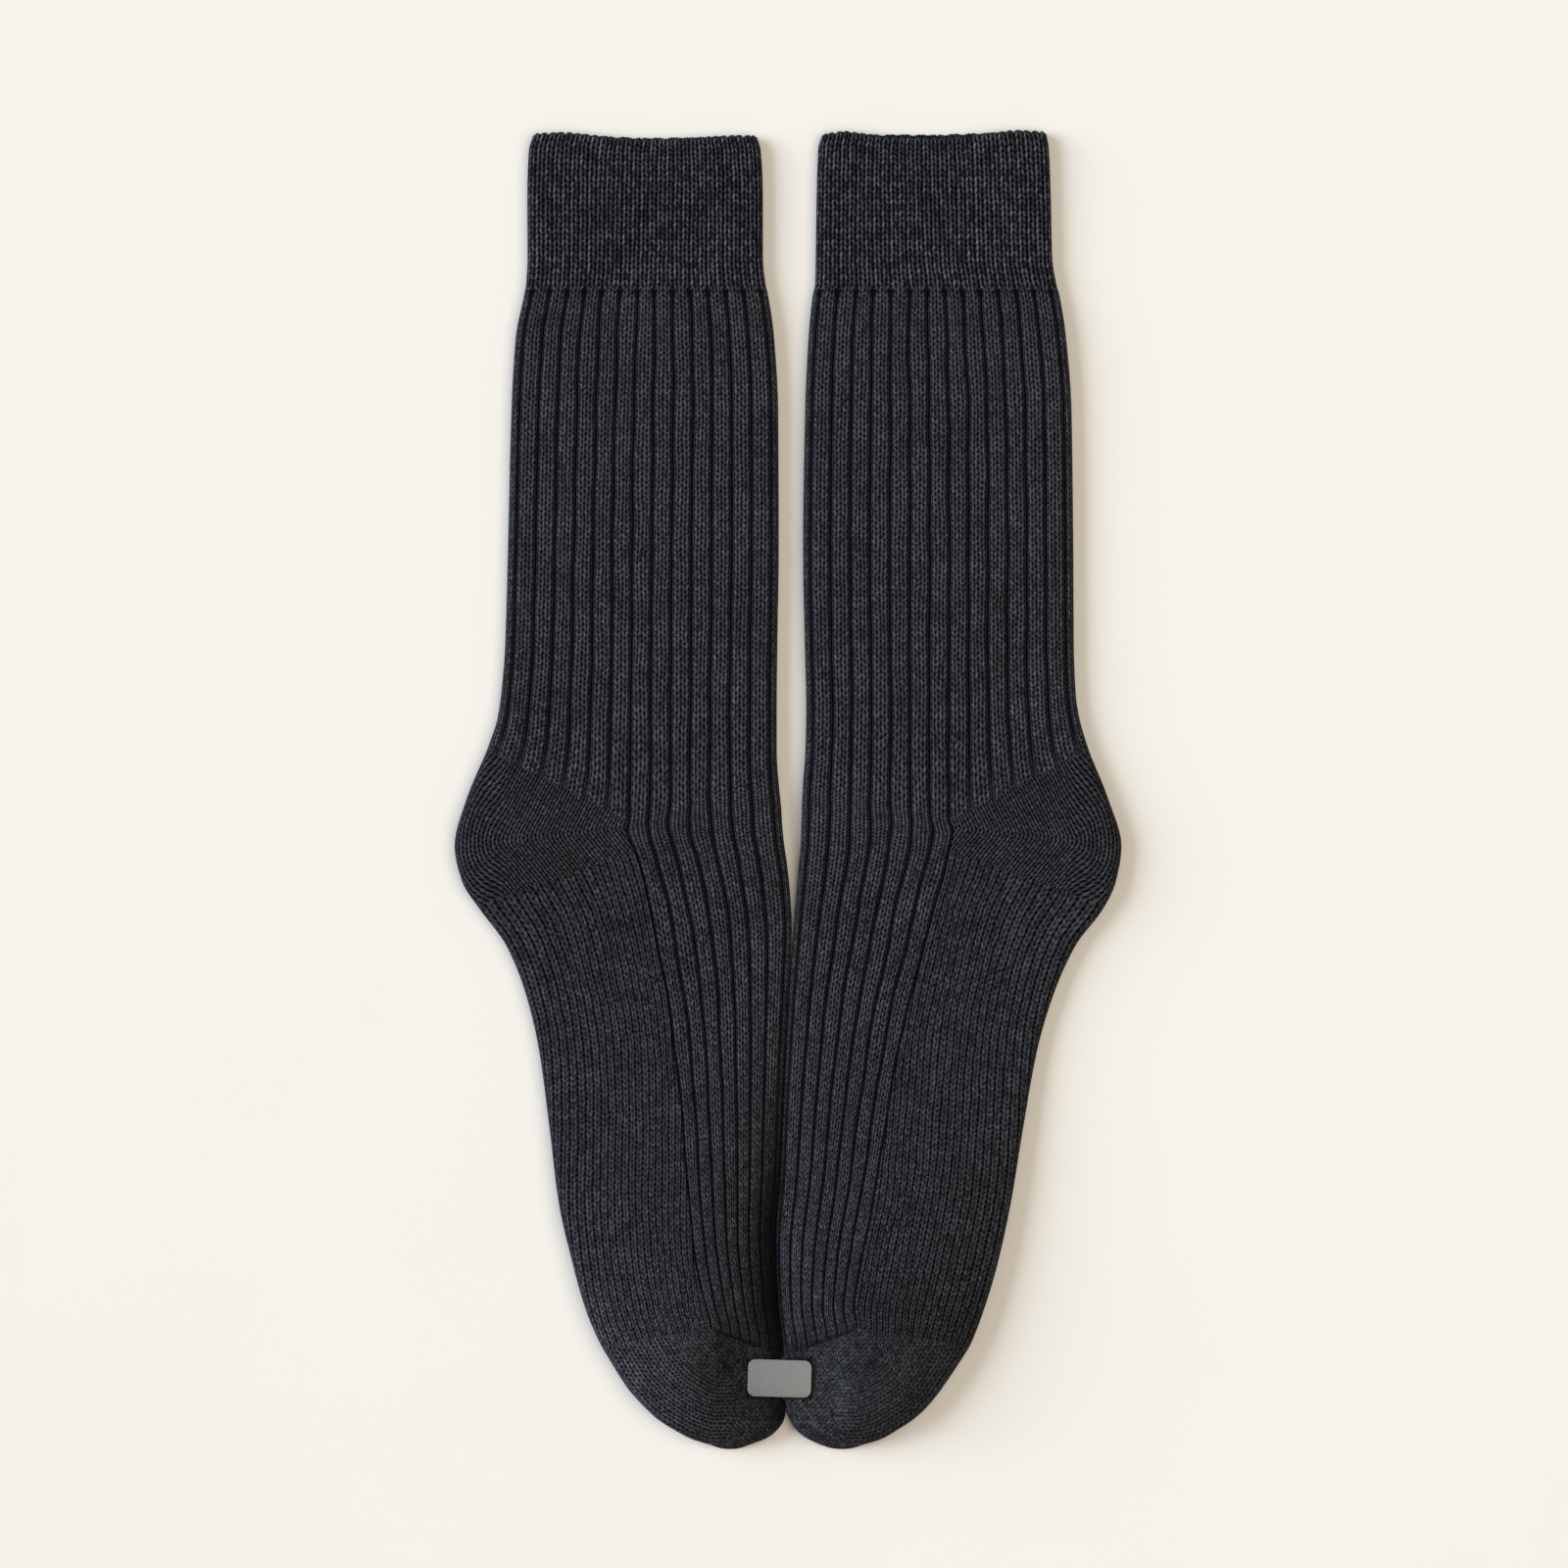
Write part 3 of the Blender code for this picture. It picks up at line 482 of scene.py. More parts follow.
class Sock:
    """Places, heights and knit counts of one sock's two layers."""

    def __init__(self, side):
        self.side = side
        self.hand = "left" if side < 0 else "right"
        even = np.linspace(0.0, LENGTHS[-1], int(LENGTHS[-1] / ROW_STEP) + 1)
        first, last = RIB_TOP_ROWS
        rib_tops = np.arange(CUFF_CHANGE + first, CUFF_CHANGE + last, RIB_TOP_ROW_STEP)
        closer_rows = np.concatenate((rib_tops, LENGTHS[NAMES.index("toe_seam"):]))
        apart = np.abs(even[:, None] - closer_rows).min(axis=1) > RIB_TOP_ROW_STEP
        self.length = np.sort(np.concatenate((even[apart], closer_rows)))[:, None]
        self.height = along_sock("height", self.length)
        self.gap = along_sock("gap", self.length)
        self.lift = np.clip(along_sock("lift", self.length), 0.0, 1.0)
        from_arch = smooth_step((self.length - length_of("arch_end")) / TOE_CLOSER_IN)
        to_toe = smooth_step((length_of("toe_seam") - self.length) / TOE_CLOSER_OUT)
        self.closer = TOE_CLOSER * from_arch * to_toe

    def ends(self):
        """Heel edge, mid wale and instep edge of every row, as distance out and along."""
        heel = along_sock("heel_" + self.hand, self.length)
        instep = along_sock("instep_" + self.hand, self.length) - self.closer
        middle = heel + (instep - heel) * along_sock("mid_share", self.length)
        return (
            (heel, along_sock("heel_y", self.length)),
            (middle, along_sock("mid_y", self.length)),
            (instep, along_sock("instep_y", self.length)),
        )

    def half_width(self, across):
        """Width in plan from the edge to the mid wale, on the side that each place is on."""
        heel, middle, instep = self.ends()
        sole_half = np.hypot(heel[0] - middle[0], heel[1] - middle[1])
        instep_half = np.hypot(instep[0] - middle[0], instep[1] - middle[1])
        return np.where(across < 0.0, sole_half, instep_half)

    def plan(self, across):
        """Plan places of across positions on every row, as distance out and along."""
        heel, middle, instep = self.ends()
        across = across + self.wobble(across)
        far = np.abs(across)
        out = np.where(across < 0.0, heel[0], instep[0]) * far + middle[0] * (1.0 - far)
        # Towards the tip the rows curve, so that the toe ends round.
        far_y = far ** (1.0 + smooth_step((self.length - length_of("toe_notch")) / TIP_ROUND_REACH))
        y = np.where(across < 0.0, heel[1], instep[1]) * far_y + middle[1] * (1.0 - far_y)
        return out, y

    def wobble(self, across):
        """How far the ribs stray from their lines, as a share of the way from edge to mid wale."""
        rib = rib_count(across)
        shift = WOBBLE_SHIFT[self.hand]
        slow, *quick, swell = [
            wave.share * np.sin(wave.by_rib * rib + self.length / wave.mm + wave.shifts * shift)
            for wave in (*WAVES, SWELL)
        ]
        stray = slow * swell + sum(quick)
        held = 1.0 - CUFF_WOBBLE_LESS * smooth_step((CUFF_CHANGE - self.length) / CUFF_FADE)
        return WOBBLE * held * stray * (1.0 - across ** 2)

    def edge_rise(self, across, inset=0.0):
        """Round of the folded edges: 0 on the edge and 1 from half the height inward."""
        distance = (1.0 - np.abs(across)) * self.half_width(across) - inset
        reach = np.clip(distance / (self.height / 2.0 - inset), 0.0, 1.0)
        return np.sqrt(1.0 - (1.0 - reach) ** 2)

    def edge_turn(self, across):
        """How much less cloth lies from the middle to a place in plan than round the fold."""
        radius = self.height / 2.0
        inward = np.clip((1.0 - np.abs(across)) * self.half_width(across) / radius, 0.0, 1.0)
        full_turn = math.pi / 2.0 - 1.0
        return EDGE_CLOTH * radius * (full_turn - (np.arccos(1.0 - inward) - inward))

    def rib_relief(self, across):
        """Depth below the rib crowns in millimetres, and shade painted into the valleys, 0 to 1."""
        count = rib_count(across)
        phase = count - np.floor(count)
        cuff_phase = 2.0 * phase - np.floor(2.0 * phase)
        below_cuff = self.length - CUFF_CHANGE
        cuff = 1.0 - smooth_step(below_cuff / CUFF_FADE + 0.5)
        open_rib = smooth_step(below_cuff / CUFF_TURN + 0.5)
        sole_rib = np.clip(along_sock("sole_rib", self.length), 0.0, 1.0)
        instep_rib = np.clip(along_sock("instep_rib", self.length), 0.0, 1.0)
        held = np.where(across < -MID_VALLEY_SIDE, sole_rib, instep_rib)
        below_cuff = below_cuff + rib_arch(across)
        opening = bell((below_cuff - RIB_TOP_AT) / RIB_TOP_REACH)
        arch = np.sqrt(np.clip(below_cuff / RIB_TOP_ARCH, RIB_TOP_LEAST, 1.0))
        leg_valley = valley(phase, LEG_VALLEY_HALF * (1.0 + RIB_TOP_OPEN * opening) * arch)
        cuff_valley = valley(cuff_phase, CUFF_VALLEY_HALF)
        leg_round = np.abs(2.0 * phase - 1.0) ** CROWN_POWER
        cuff_round = np.abs(2.0 * cuff_phase - 1.0) ** CROWN_POWER
        leg = LEG_VALLEY_DEEP * leg_valley * open_rib + LEG_CROWN_ROUND * leg_round * (1.0 - cuff)
        fine = CUFF_VALLEY_DEEP * cuff_valley + CUFF_CROWN_ROUND * cuff_round
        depth = held * (leg + fine * cuff)
        # Shade is painted into the valleys where they lie deep.
        painted_leg_valley_shade = leg_valley ** VALLEY_PAINTED_SHADE_POWER * open_rib
        return depth, held * (painted_leg_valley_shade + CUFF_VALLEY_PAINTED_SHADE * cuff_valley * cuff)

    def seam_relief(self, across):
        """Depth of the toe seam and the shade painted along it, across the instep from the mid
        wale.
        """
        away = self.length - length_of("toe_seam")
        line = bell(away / SEAM_HALF) * ramp(across, SEAM_BEGINS)
        shown = 1.0 - SEAM_END_LIGHTER * ramp(across, SEAM_ENDS)
        return SEAM_DEEP * line, SEAM_PAINTED_SHADE * line * shown

    def from_clip(self, across):
        """Distance of places outside the clip's plate, 0 under it."""
        out, y = self.plan(across)
        far_x = np.maximum(np.abs(self.side * out - CLIP_MIDDLE[0]) - CLIP_WIDTH / 2.0, 0.0)
        far_y = np.maximum(np.abs(y - CLIP_MIDDLE[1]) - CLIP_LENGTH / 2.0, 0.0)
        return np.hypot(far_x, far_y)

    def dome(self, across):
        """Rise of the rounded toe over its edges, pressed flat under the clip."""
        free = 1.0 - bell(self.from_clip(across) / CLIP_PRESS_REACH)
        return along_sock("dome", self.length) * np.sqrt(1.0 - np.minimum(across ** 2, 1.0)) * free

    def beside_gap(self, across, reach):
        """How near a place is to where the feet touch: 1 there, down to 0 past the reach."""
        from_gap = np.where(across > 0.0, (1.0 - across) * self.half_width(across), FAR_MM)
        from_ball = smooth_step((self.length - length_of("ball")) / GAP_FROM_BALL)
        to_tip = smooth_step((length_of("toe_turn") - self.length) / GAP_TO_TIP)
        return from_ball * to_tip * bell(from_gap / reach)

    def pinch(self, across):
        """Depth to which the clip draws the toes down towards the gap between them."""
        return PINCH_DEEP * self.beside_gap(across, PINCH_REACH)

    def underside(self, across):
        """Height of the underside, flat on the ground but for room round the clip."""
        return UNDERSIDE_LIFT * self.lift * ramp(across, LIFT_ACROSS)

    def upper(self, across):
        """Outside of the upper layer: x, y, z and painted shade on every row."""
        out, y = self.plan(across)
        rise = self.edge_rise(across)
        low = self.underside(across)
        middle = (self.height + low) / 2.0
        rib_depth, painted_rib_shade = self.rib_relief(across)
        seam_depth, painted_seam_shade = self.seam_relief(across)
        inward = smooth_step((1.0 - np.abs(across)) / FOLD_FREE_OF_EDGE)
        unevenness = UNEVEN_MM * uneven(out, y, UNEVEN_SHIFT[self.hand])
        soft = fold_depth(out, y, FOLDS[self.hand]) - unevenness
        depth = rib_depth + seam_depth + soft * inward
        z = middle + (self.height - middle - depth - self.pinch(across)) * rise + self.dome(across)
        rim = self.scallop(across) - self.rim_fall(across)
        # Painted shade beside the gap between the toes.
        painted_gap_shade = GAP_PAINTED_SHADE[self.hand] * self.beside_gap(across, GAP_PAINTED_SHADE_REACH[self.hand])
        # A painted shadow round the clip.
        painted_clip_shadow = CLIP_PAINTED_SHADOW * smooth_step(1.0 - self.from_clip(across) / CLIP_PAINTED_SHADOW_REACH)
        dark = np.maximum.reduce((painted_rib_shade, painted_seam_shade, painted_gap_shade, painted_clip_shadow))
        return self.side * out, y + rim, z, dark

    def lower(self, across):
        """Outside of the lower layer: x, y, z and painted shade on every row."""
        out, y = self.plan(across)
        rise = self.edge_rise(across)
        low = self.underside(across)
        middle = (self.height + low) / 2.0
        depth, dark = self.rib_relief(across)
        z = middle + (low - middle + UNDERSIDE_RIB_SHARE * depth) * rise
        edge_fall = self.rim_fall(np.sign(across)) * across ** 2
        y = y + self.back_rim(across) + self.scallop(across) - edge_fall
        return self.side * out, y, z, dark

    def round_toe(self, out, y):
        """Distance of toe places in from the outer edge and tip, and length along these."""
        heel, _, instep = self.ends()
        toe = self.length[:, 0] > length_of("foot_low")
        share = np.linspace(0.0, 1.0, TIP_LINE_POINTS)
        line_out = np.append(heel[0][toe, 0], heel[0][-1] + (instep[0][-1] - heel[0][-1]) * share)
        line_y = np.append(heel[1][toe, 0], heel[1][-1] + (instep[1][-1] - heel[1][-1]) * share)
        run = np.append(0.0, np.cumsum(np.hypot(np.diff(line_out), np.diff(line_y))))
        inward = np.zeros(out.shape)
        along = np.zeros(out.shape)
        for row in np.flatnonzero(toe):
            apart = np.hypot(out[row][:, None] - line_out, y[row][:, None] - line_y)
            nearest = apart.min(axis=1)
            weight = np.exp((nearest[:, None] - apart) / TOE_LINE_SOFT)
            inward[row] = nearest
            along[row] = (weight * run).sum(axis=1) / weight.sum(axis=1)
        return inward, along

    def scallop(self, across):
        """Rise of the rim on each cuff rib."""
        phase = 2.0 * rib_count(across)
        phase = phase - np.floor(phase)
        rise = RIM_SCALLOP * np.sin(math.pi * phase) ** SCALLOP_ROUND
        return rise * bell(self.length / SCALLOP_REACH)

    def back_rim(self, across):
        """Where the rim of the lower layer lies, against the front one's straight line."""
        dip = RIM_DIP[self.hand] * (1.0 - across ** 2) * bell(self.length / RIM_DIP_REACH)
        return dip - RIM_RISE * (1.0 - across ** 2)

    def rim_fall(self, across):
        """Fall of the rim's line, fading out down the cuff."""
        fall = np.interp(across, RIM_ACROSS, RIM_FALL[self.hand])
        return fall * bell(self.length / RIM_FALL_REACH)

    def inside(self, across, layer):
        """Plain inside of a layer: x, y and z on every row; layer is 1 above, -1 below."""
        inmost = 1.0 - WALL / self.half_width(across)
        held = np.sign(across) * np.minimum(np.abs(across), inmost)
        out, y = self.plan(held)
        rise = self.edge_rise(held, inset=WALL)
        ribs = np.maximum(*(along_sock(side, self.length) for side in ("sole_rib", "instep_rib")))
        centre = (self.underside(held) + self.height - INSIDE_RIB_ROOM * ribs) / 2.0
        z = centre + layer * self.gap / 2.0 * rise
        if layer > 0:
            z = z - self.pinch(held) * rise
            return self.side * out, y - self.rim_fall(held), z + self.dome(held)
        return self.side * out, y + self.back_rim(held), z


def zone_of(length, across):
    """Number of the zone in ZONES that a place on the sock is in."""
    zone = np.zeros(np.broadcast(length, across).shape, dtype=int)
    sole_side = across + 0.0 * length < 0.0
    place = length + 0.0 * across
    below_gore = place > length_of("gore_low")
    zone[place < CUFF_CHANGE - rib_arch(across)] = ZONE_NUMBER["cuff"]
    zone[sole_side & below_gore] = ZONE_NUMBER["sole"]
    zone[sole_side & (place > length_of("gore_top")) & ~below_gore] = ZONE_NUMBER["heel"]
    zone[place > length_of("toe_seam")] = ZONE_NUMBER["toe"]
    return zone


def knit_counts(sock, across):
    """Wale and course counts of every zone, as arrays of zones, rows and columns."""
    out, y = sock.plan(across)
    length = sock.length + 0.0 * across
    count = rib_count(across) + 0.0 * length
    whole = np.floor(count)
    phase = count - whole
    leg_wales = WALES_PER_RIB * whole + np.interp(phase, *LEG_PURL)
    # Round a folded edge there is more cloth than its plan shows, so more stitches too.
    turned = sock.edge_turn(across)
    turned_out = np.sign(across) * turned
    leg_wales = leg_wales + turned_out / EDGE_WALE_MM
    cuff_wales = CUFF_WALES_PER_RIB * count + CUFF_FIRST_WALE + turned_out / CUFF_EDGE_WALE_MM
    courses = length / COURSE_MM
    sole_wales = PLAIN_WALES * across * (1.0 - EDGE_WALES_WIDEN * np.abs(across))
    *ends, slip = SOLE_SLIP[sock.hand]
    slipped = slip * ramp(y, ends)
    sole_wales = sole_wales + turned_out / EDGE_WALE_MM + slipped / SOLE_WALE_MM

    heel_out = getattr(SECTIONS[NAMES.index("heel_back")], "heel_" + sock.hand)
    inward = heel_out - out
    off_mitre = y - (HEEL_POINT_Y + MITRE_SLOPE * inward)
    turn = MITRE_TURN[0] + (MITRE_TURN[1] - MITRE_TURN[0]) * smooth_step(inward / MITRE_TURN_REACH)
    bent = np.sqrt(off_mitre ** 2 + turn ** 2) - turn
    slope = np.where(off_mitre > 0.0, HEEL_SLOPES[0], HEEL_SLOPES[1])
    heel_wales = (inward - turned - slope * bent) / HEEL_WALE_MM
    heel_courses = -off_mitre * np.hypot(1.0, slope) / COURSE_MM

    # The toe's wales run side by side with its outline, from the sole round to the seam.
    inward, along = sock.round_toe(out, y)
    toe_wales = PLAIN_WALES - (inward - turned) / TOE_WALE_MM
    toe_courses = along / COURSE_MM
    inner_wales = (out + TOE_INNER_LEAN * y) / TOE_INNER_WALE_MM
    inner_courses = -y / TOE_INNER_COURSE_MM
    wales = np.stack((leg_wales, cuff_wales, sole_wales, heel_wales, toe_wales, inner_wales))
    all_courses = (courses, courses, courses, heel_courses, toe_courses, inner_courses)
    return wales, np.stack(all_courses)


def ring_join(first, second, first_marks, second_marks):
    """Triangles between two closed rings of points, joined by how far round each point is."""
    loop = 4.0
    faces = []
    i = 0
    j = 0
    ahead = list(first_marks[1:]) + [first_marks[0] + loop]
    other_ahead = list(second_marks[1:]) + [second_marks[0] + loop]
    while i < len(first) or j < len(second):
        here = first[i % len(first)]
        there = second[j % len(second)]
        if j >= len(second) or (i < len(first) and ahead[i] <= other_ahead[j]):
            i += 1
            faces.append((here, first[i % len(first)], there))
        else:
            j += 1
            faces.append((here, second[j % len(second)], there))
    return faces


def both(upper, lower):
    """Points of the upper and then the lower layer, row by row, as one array of places."""
    return np.stack([np.concatenate((a, b), axis=1) for a, b in zip(upper[:3], lower[:3])], axis=-1)


def placed(name, data):
    """A new object of this data in the scene."""
    made = bpy.data.objects.new(name, data)
    bpy.context.scene.collection.objects.link(made)
    return made


def made_up(mesh, data, finish):
    """The edited mesh as a piece of the scene with its finish."""
    mesh.to_mesh(data)
    mesh.free()
    data.materials.append(finish)
    return placed(data.name, data)


def sock_shell(name, side, finish):
    """One sock as a closed shell: knitted outside, scalloped rim, plain inside."""
    sock = Sock(side)
    upper_marks = layer_marks(RIB_MARKS)
    lower_marks = layer_marks(UNDER_MARKS)[::-1][1:-1]
    across = np.concatenate((upper_marks, lower_marks))
    round_marks = np.concatenate((1.0 + upper_marks, 3.0 - lower_marks))
    upper = sock.upper(upper_marks[None, :])
    lower = sock.lower(lower_marks[None, :])
    skin = both(upper, lower)
    dark = np.concatenate((upper[3], lower[3]), axis=1)
    rows, columns = dark.shape

    edge = np.array((-1.0, *INSIDE_MARKS, 1.0))
    back = edge[-2:0:-1]
    inside = both(sock.inside(edge[None, :], 1), sock.inside(back[None, :], -1))
    inside_marks = np.concatenate((1.0 + edge, 3.0 - back))
    kept = np.flatnonzero(sock.length[:, 0] < length_of("toe_low"))[::INSIDE_EVERY]
    inside = inside[kept]
    rim_inside = both(sock.inside(upper_marks[None, :], 1),
                      sock.inside(lower_marks[None, :], -1))[0]
    crest = (skin[0] + rim_inside) / 2.0
    crest[:, 1] = skin[0][:, 1] + RIM_RISE

    tip = skin[-1].mean(axis=0)
    inner_end = inside[-1].mean(axis=0)
    places = np.concatenate((skin.reshape(-1, 3), crest, inside.reshape(-1, 3), [tip, inner_end]))
    crest_start = rows * columns
    inside_start = crest_start + columns
    tip_index = len(places) - 2
    row, col = np.meshgrid(np.arange(rows - 1), np.arange(columns), indexing="ij")
    after = (col + 1) % columns
    corner_row = np.stack((row, row, row + 1, row + 1), axis=-1).reshape(-1, 4)
    corner_col = np.stack((col, after, after, col), axis=-1).reshape(-1, 4)
    faces = (corner_row * columns + corner_col).tolist()

    mid_length = (sock.length[corner_row[:, 0], 0] + sock.length[corner_row[:, 2], 0]) / 2.0
    mid_across = (across[corner_col[:, 0]] + across[corner_col[:, 1]]) / 2.0
    zone = zone_of(mid_length, mid_across)
    wales, courses = knit_counts(sock, across[None, :])
    toe = ZONE_NUMBER["toe"]
    inward = (PLAIN_WALES - wales[toe]) * TOE_WALE_MM
    deep_in = inward[corner_row, corner_col].mean(axis=1) > TOE_INNER_FROM
    to_end = courses[toe].max() - courses[toe][corner_row, corner_col].mean(axis=1)
    zone[(zone == toe) & (deep_in | (to_end < TOE_INNER_END))] = ZONE_NUMBER["toe_inner"]
    uv = np.stack((wales[zone[:, None], corner_row, corner_col],
                   courses[zone[:, None], corner_row, corner_col]), axis=-1).reshape(-1, 2)
    looks = np.array([one[1:] for one in ZONES])
    knit_look = np.repeat(looks[zone][:, None, :], 4, axis=1)
    lines = 1.0 - (1.0 - TOE_LINES_LEFT) * ramp(inward, TOE_LINES_FADE[sock.hand])
    lines = lines * (1.0 - (1.0 - TOE_LINES_LEFT) * ramp(across, TOE_LINES_ACROSS))
    fade = np.where(zone[:, None] == toe, lines[corner_row, corner_col], 1.0)
    knit_look[:, :, 1] *= fade
    knit_look[:, :, 2] *= 1.0 - TOE_GRAIN_DARK * (1.0 - fade)
    # Painted light on the toe: lighter where it faces the window, darker where it turns away.
    out, _ = sock.plan(across[None, :])
    blend = smooth_step((sock.length - length_of("toe_seam")) / TOE_PAINTED_LIGHT_BLEND + 1.0)
    brightness_with_painted_light = 1.0 + (np.interp(out, *TOE_PAINTED_LIGHT[sock.hand]) - 1.0) * blend
    knit_look[:, :, 2] *= brightness_with_painted_light[corner_row, corner_col]
    knit_look[:, :, 3] *= fade
    knit_look = knit_look.reshape(-1, 4)

    rim_ring = list(range(columns))
    crest_ring = list(range(crest_start, crest_start + columns))
    extra = ring_join(rim_ring, crest_ring, round_marks, round_marks)
    ring_starts = range(inside_start, tip_index, len(inside_marks))
    rings = [list(range(start, start + len(inside_marks))) for start in ring_starts]
    extra += ring_join(crest_ring, rings[0], round_marks, inside_marks)
    for ring, other in zip(rings, rings[1:]):
        extra += ring_join(ring, other, inside_marks, inside_marks)
    last = list(range((rows - 1) * columns, rows * columns))
    for ring, middle in ((last, tip_index), (rings[-1], tip_index + 1)):
        extra += [(a, b, middle) for a, b in zip(ring, ring[1:] + ring[:1])]

    data = bpy.data.meshes.new(name)
    data.from_pydata((places * MM).tolist(), [], faces + extra)
    layer = data.uv_layers.new(name="stitches")
    plain = np.zeros(len(places) - inside_start)
    across_of_vert = np.concatenate((np.tile(across, rows), across, plain))
    length_of_vert = places[:, 1] / -COURSE_MM
    extra_uv = [(WALES_PER_RIB * float(rib_count(across_of_vert[v])), length_of_vert[v])
                for face in extra for v in face]
    layer.uv.foreach_set("vector", np.concatenate((uv, np.array(extra_uv))).ravel())
    # This attribute holds all the shade painted into the colour: in the rib valleys, along the toe
    # seam, beside the gap between the toes, round the clip, on the rim's crest and inside.
    painted_shade = data.attributes.new("painted_shade", "FLOAT", "POINT")
    # Shade is painted all over the inside, less on its first ring at the rim, and none at the outer
    # toe tip.
    inside_painted_shade = np.ones(len(places) - inside_start)
    inside_painted_shade[:len(inside_marks)] = RIM_INSIDE_PAINTED_SHADE
    inside_painted_shade[-2] = 0.0
    all_painted_shade = np.concatenate((dark.ravel(), dark[0] * CREST_PAINTED_SHADE, inside_painted_shade))
    painted_shade.data.foreach_set("value", all_painted_shade)
    look = data.attributes.new("knit_look", "FLOAT_COLOR", "CORNER")
    cuff_look = looks[ZONE_NUMBER["cuff"]]
    knit_look = np.concatenate((knit_look, np.tile(cuff_look, (len(extra_uv), 1))))
    look.data.foreach_set("color", knit_look.ravel())
    mesh = bmesh.new()
    mesh.from_mesh(data)
    bmesh.ops.recalc_face_normals(mesh, faces=mesh.faces)
    shell = made_up(mesh, data, finish)
    data.shade_smooth()
    return shell


def linear(hex_colour):
    """An sRGB hex colour as linear red, green, blue and an alpha of 1."""
    parts = [int(hex_colour[i:i + 2], 16) / 255.0 for i in (1, 3, 5)]
    return [c / 12.92 if c <= 0.04045 else ((c + 0.055) / 1.055) ** 2.4 for c in parts] + [1.0]


def repeats(millimetres):
    """The scale of a pattern that repeats after so many millimetres."""
    return 1.0 / (millimetres * MM)


def give(tree, node, inputs):
    """Sets a node's inputs, by name or in order, or links them, to a node's first output."""
    for key, value in (inputs.items() if isinstance(inputs, dict) else enumerate(inputs)):
        if isinstance(value, bpy.types.Node):
            value = value.outputs[0]
        if isinstance(value, bpy.types.NodeSocket):
            tree.links.new(value, node.inputs[key])
        else:
            node.inputs[key].default_value = value


def add(tree, kind, settings=None, inputs=None):
    """Adds one node with its settings, and sets or links its inputs."""
    node = tree.nodes.new(kind)
    for key, value in (settings or {}).items():
        setattr(node, key, value)
    give(tree, node, inputs or [])
    return node


MATH = "ShaderNodeMath"
NOISE = "ShaderNodeTexNoise"
SPREAD = "ShaderNodeMapRange"
PLUS = {"operation": "ADD"}
MINUS = {"operation": "SUBTRACT"}
TIMES = {"operation": "MULTIPLY"}
POWER = {"operation": "POWER"}
THERE_AND_BACK = {"operation": "PINGPONG"}


def new_material(name):
    """An empty material with its tree and its shader."""
    made = bpy.data.materials.new(name)
    made.use_nodes = True
    return made, made.node_tree, made.node_tree.nodes["Principled BSDF"]


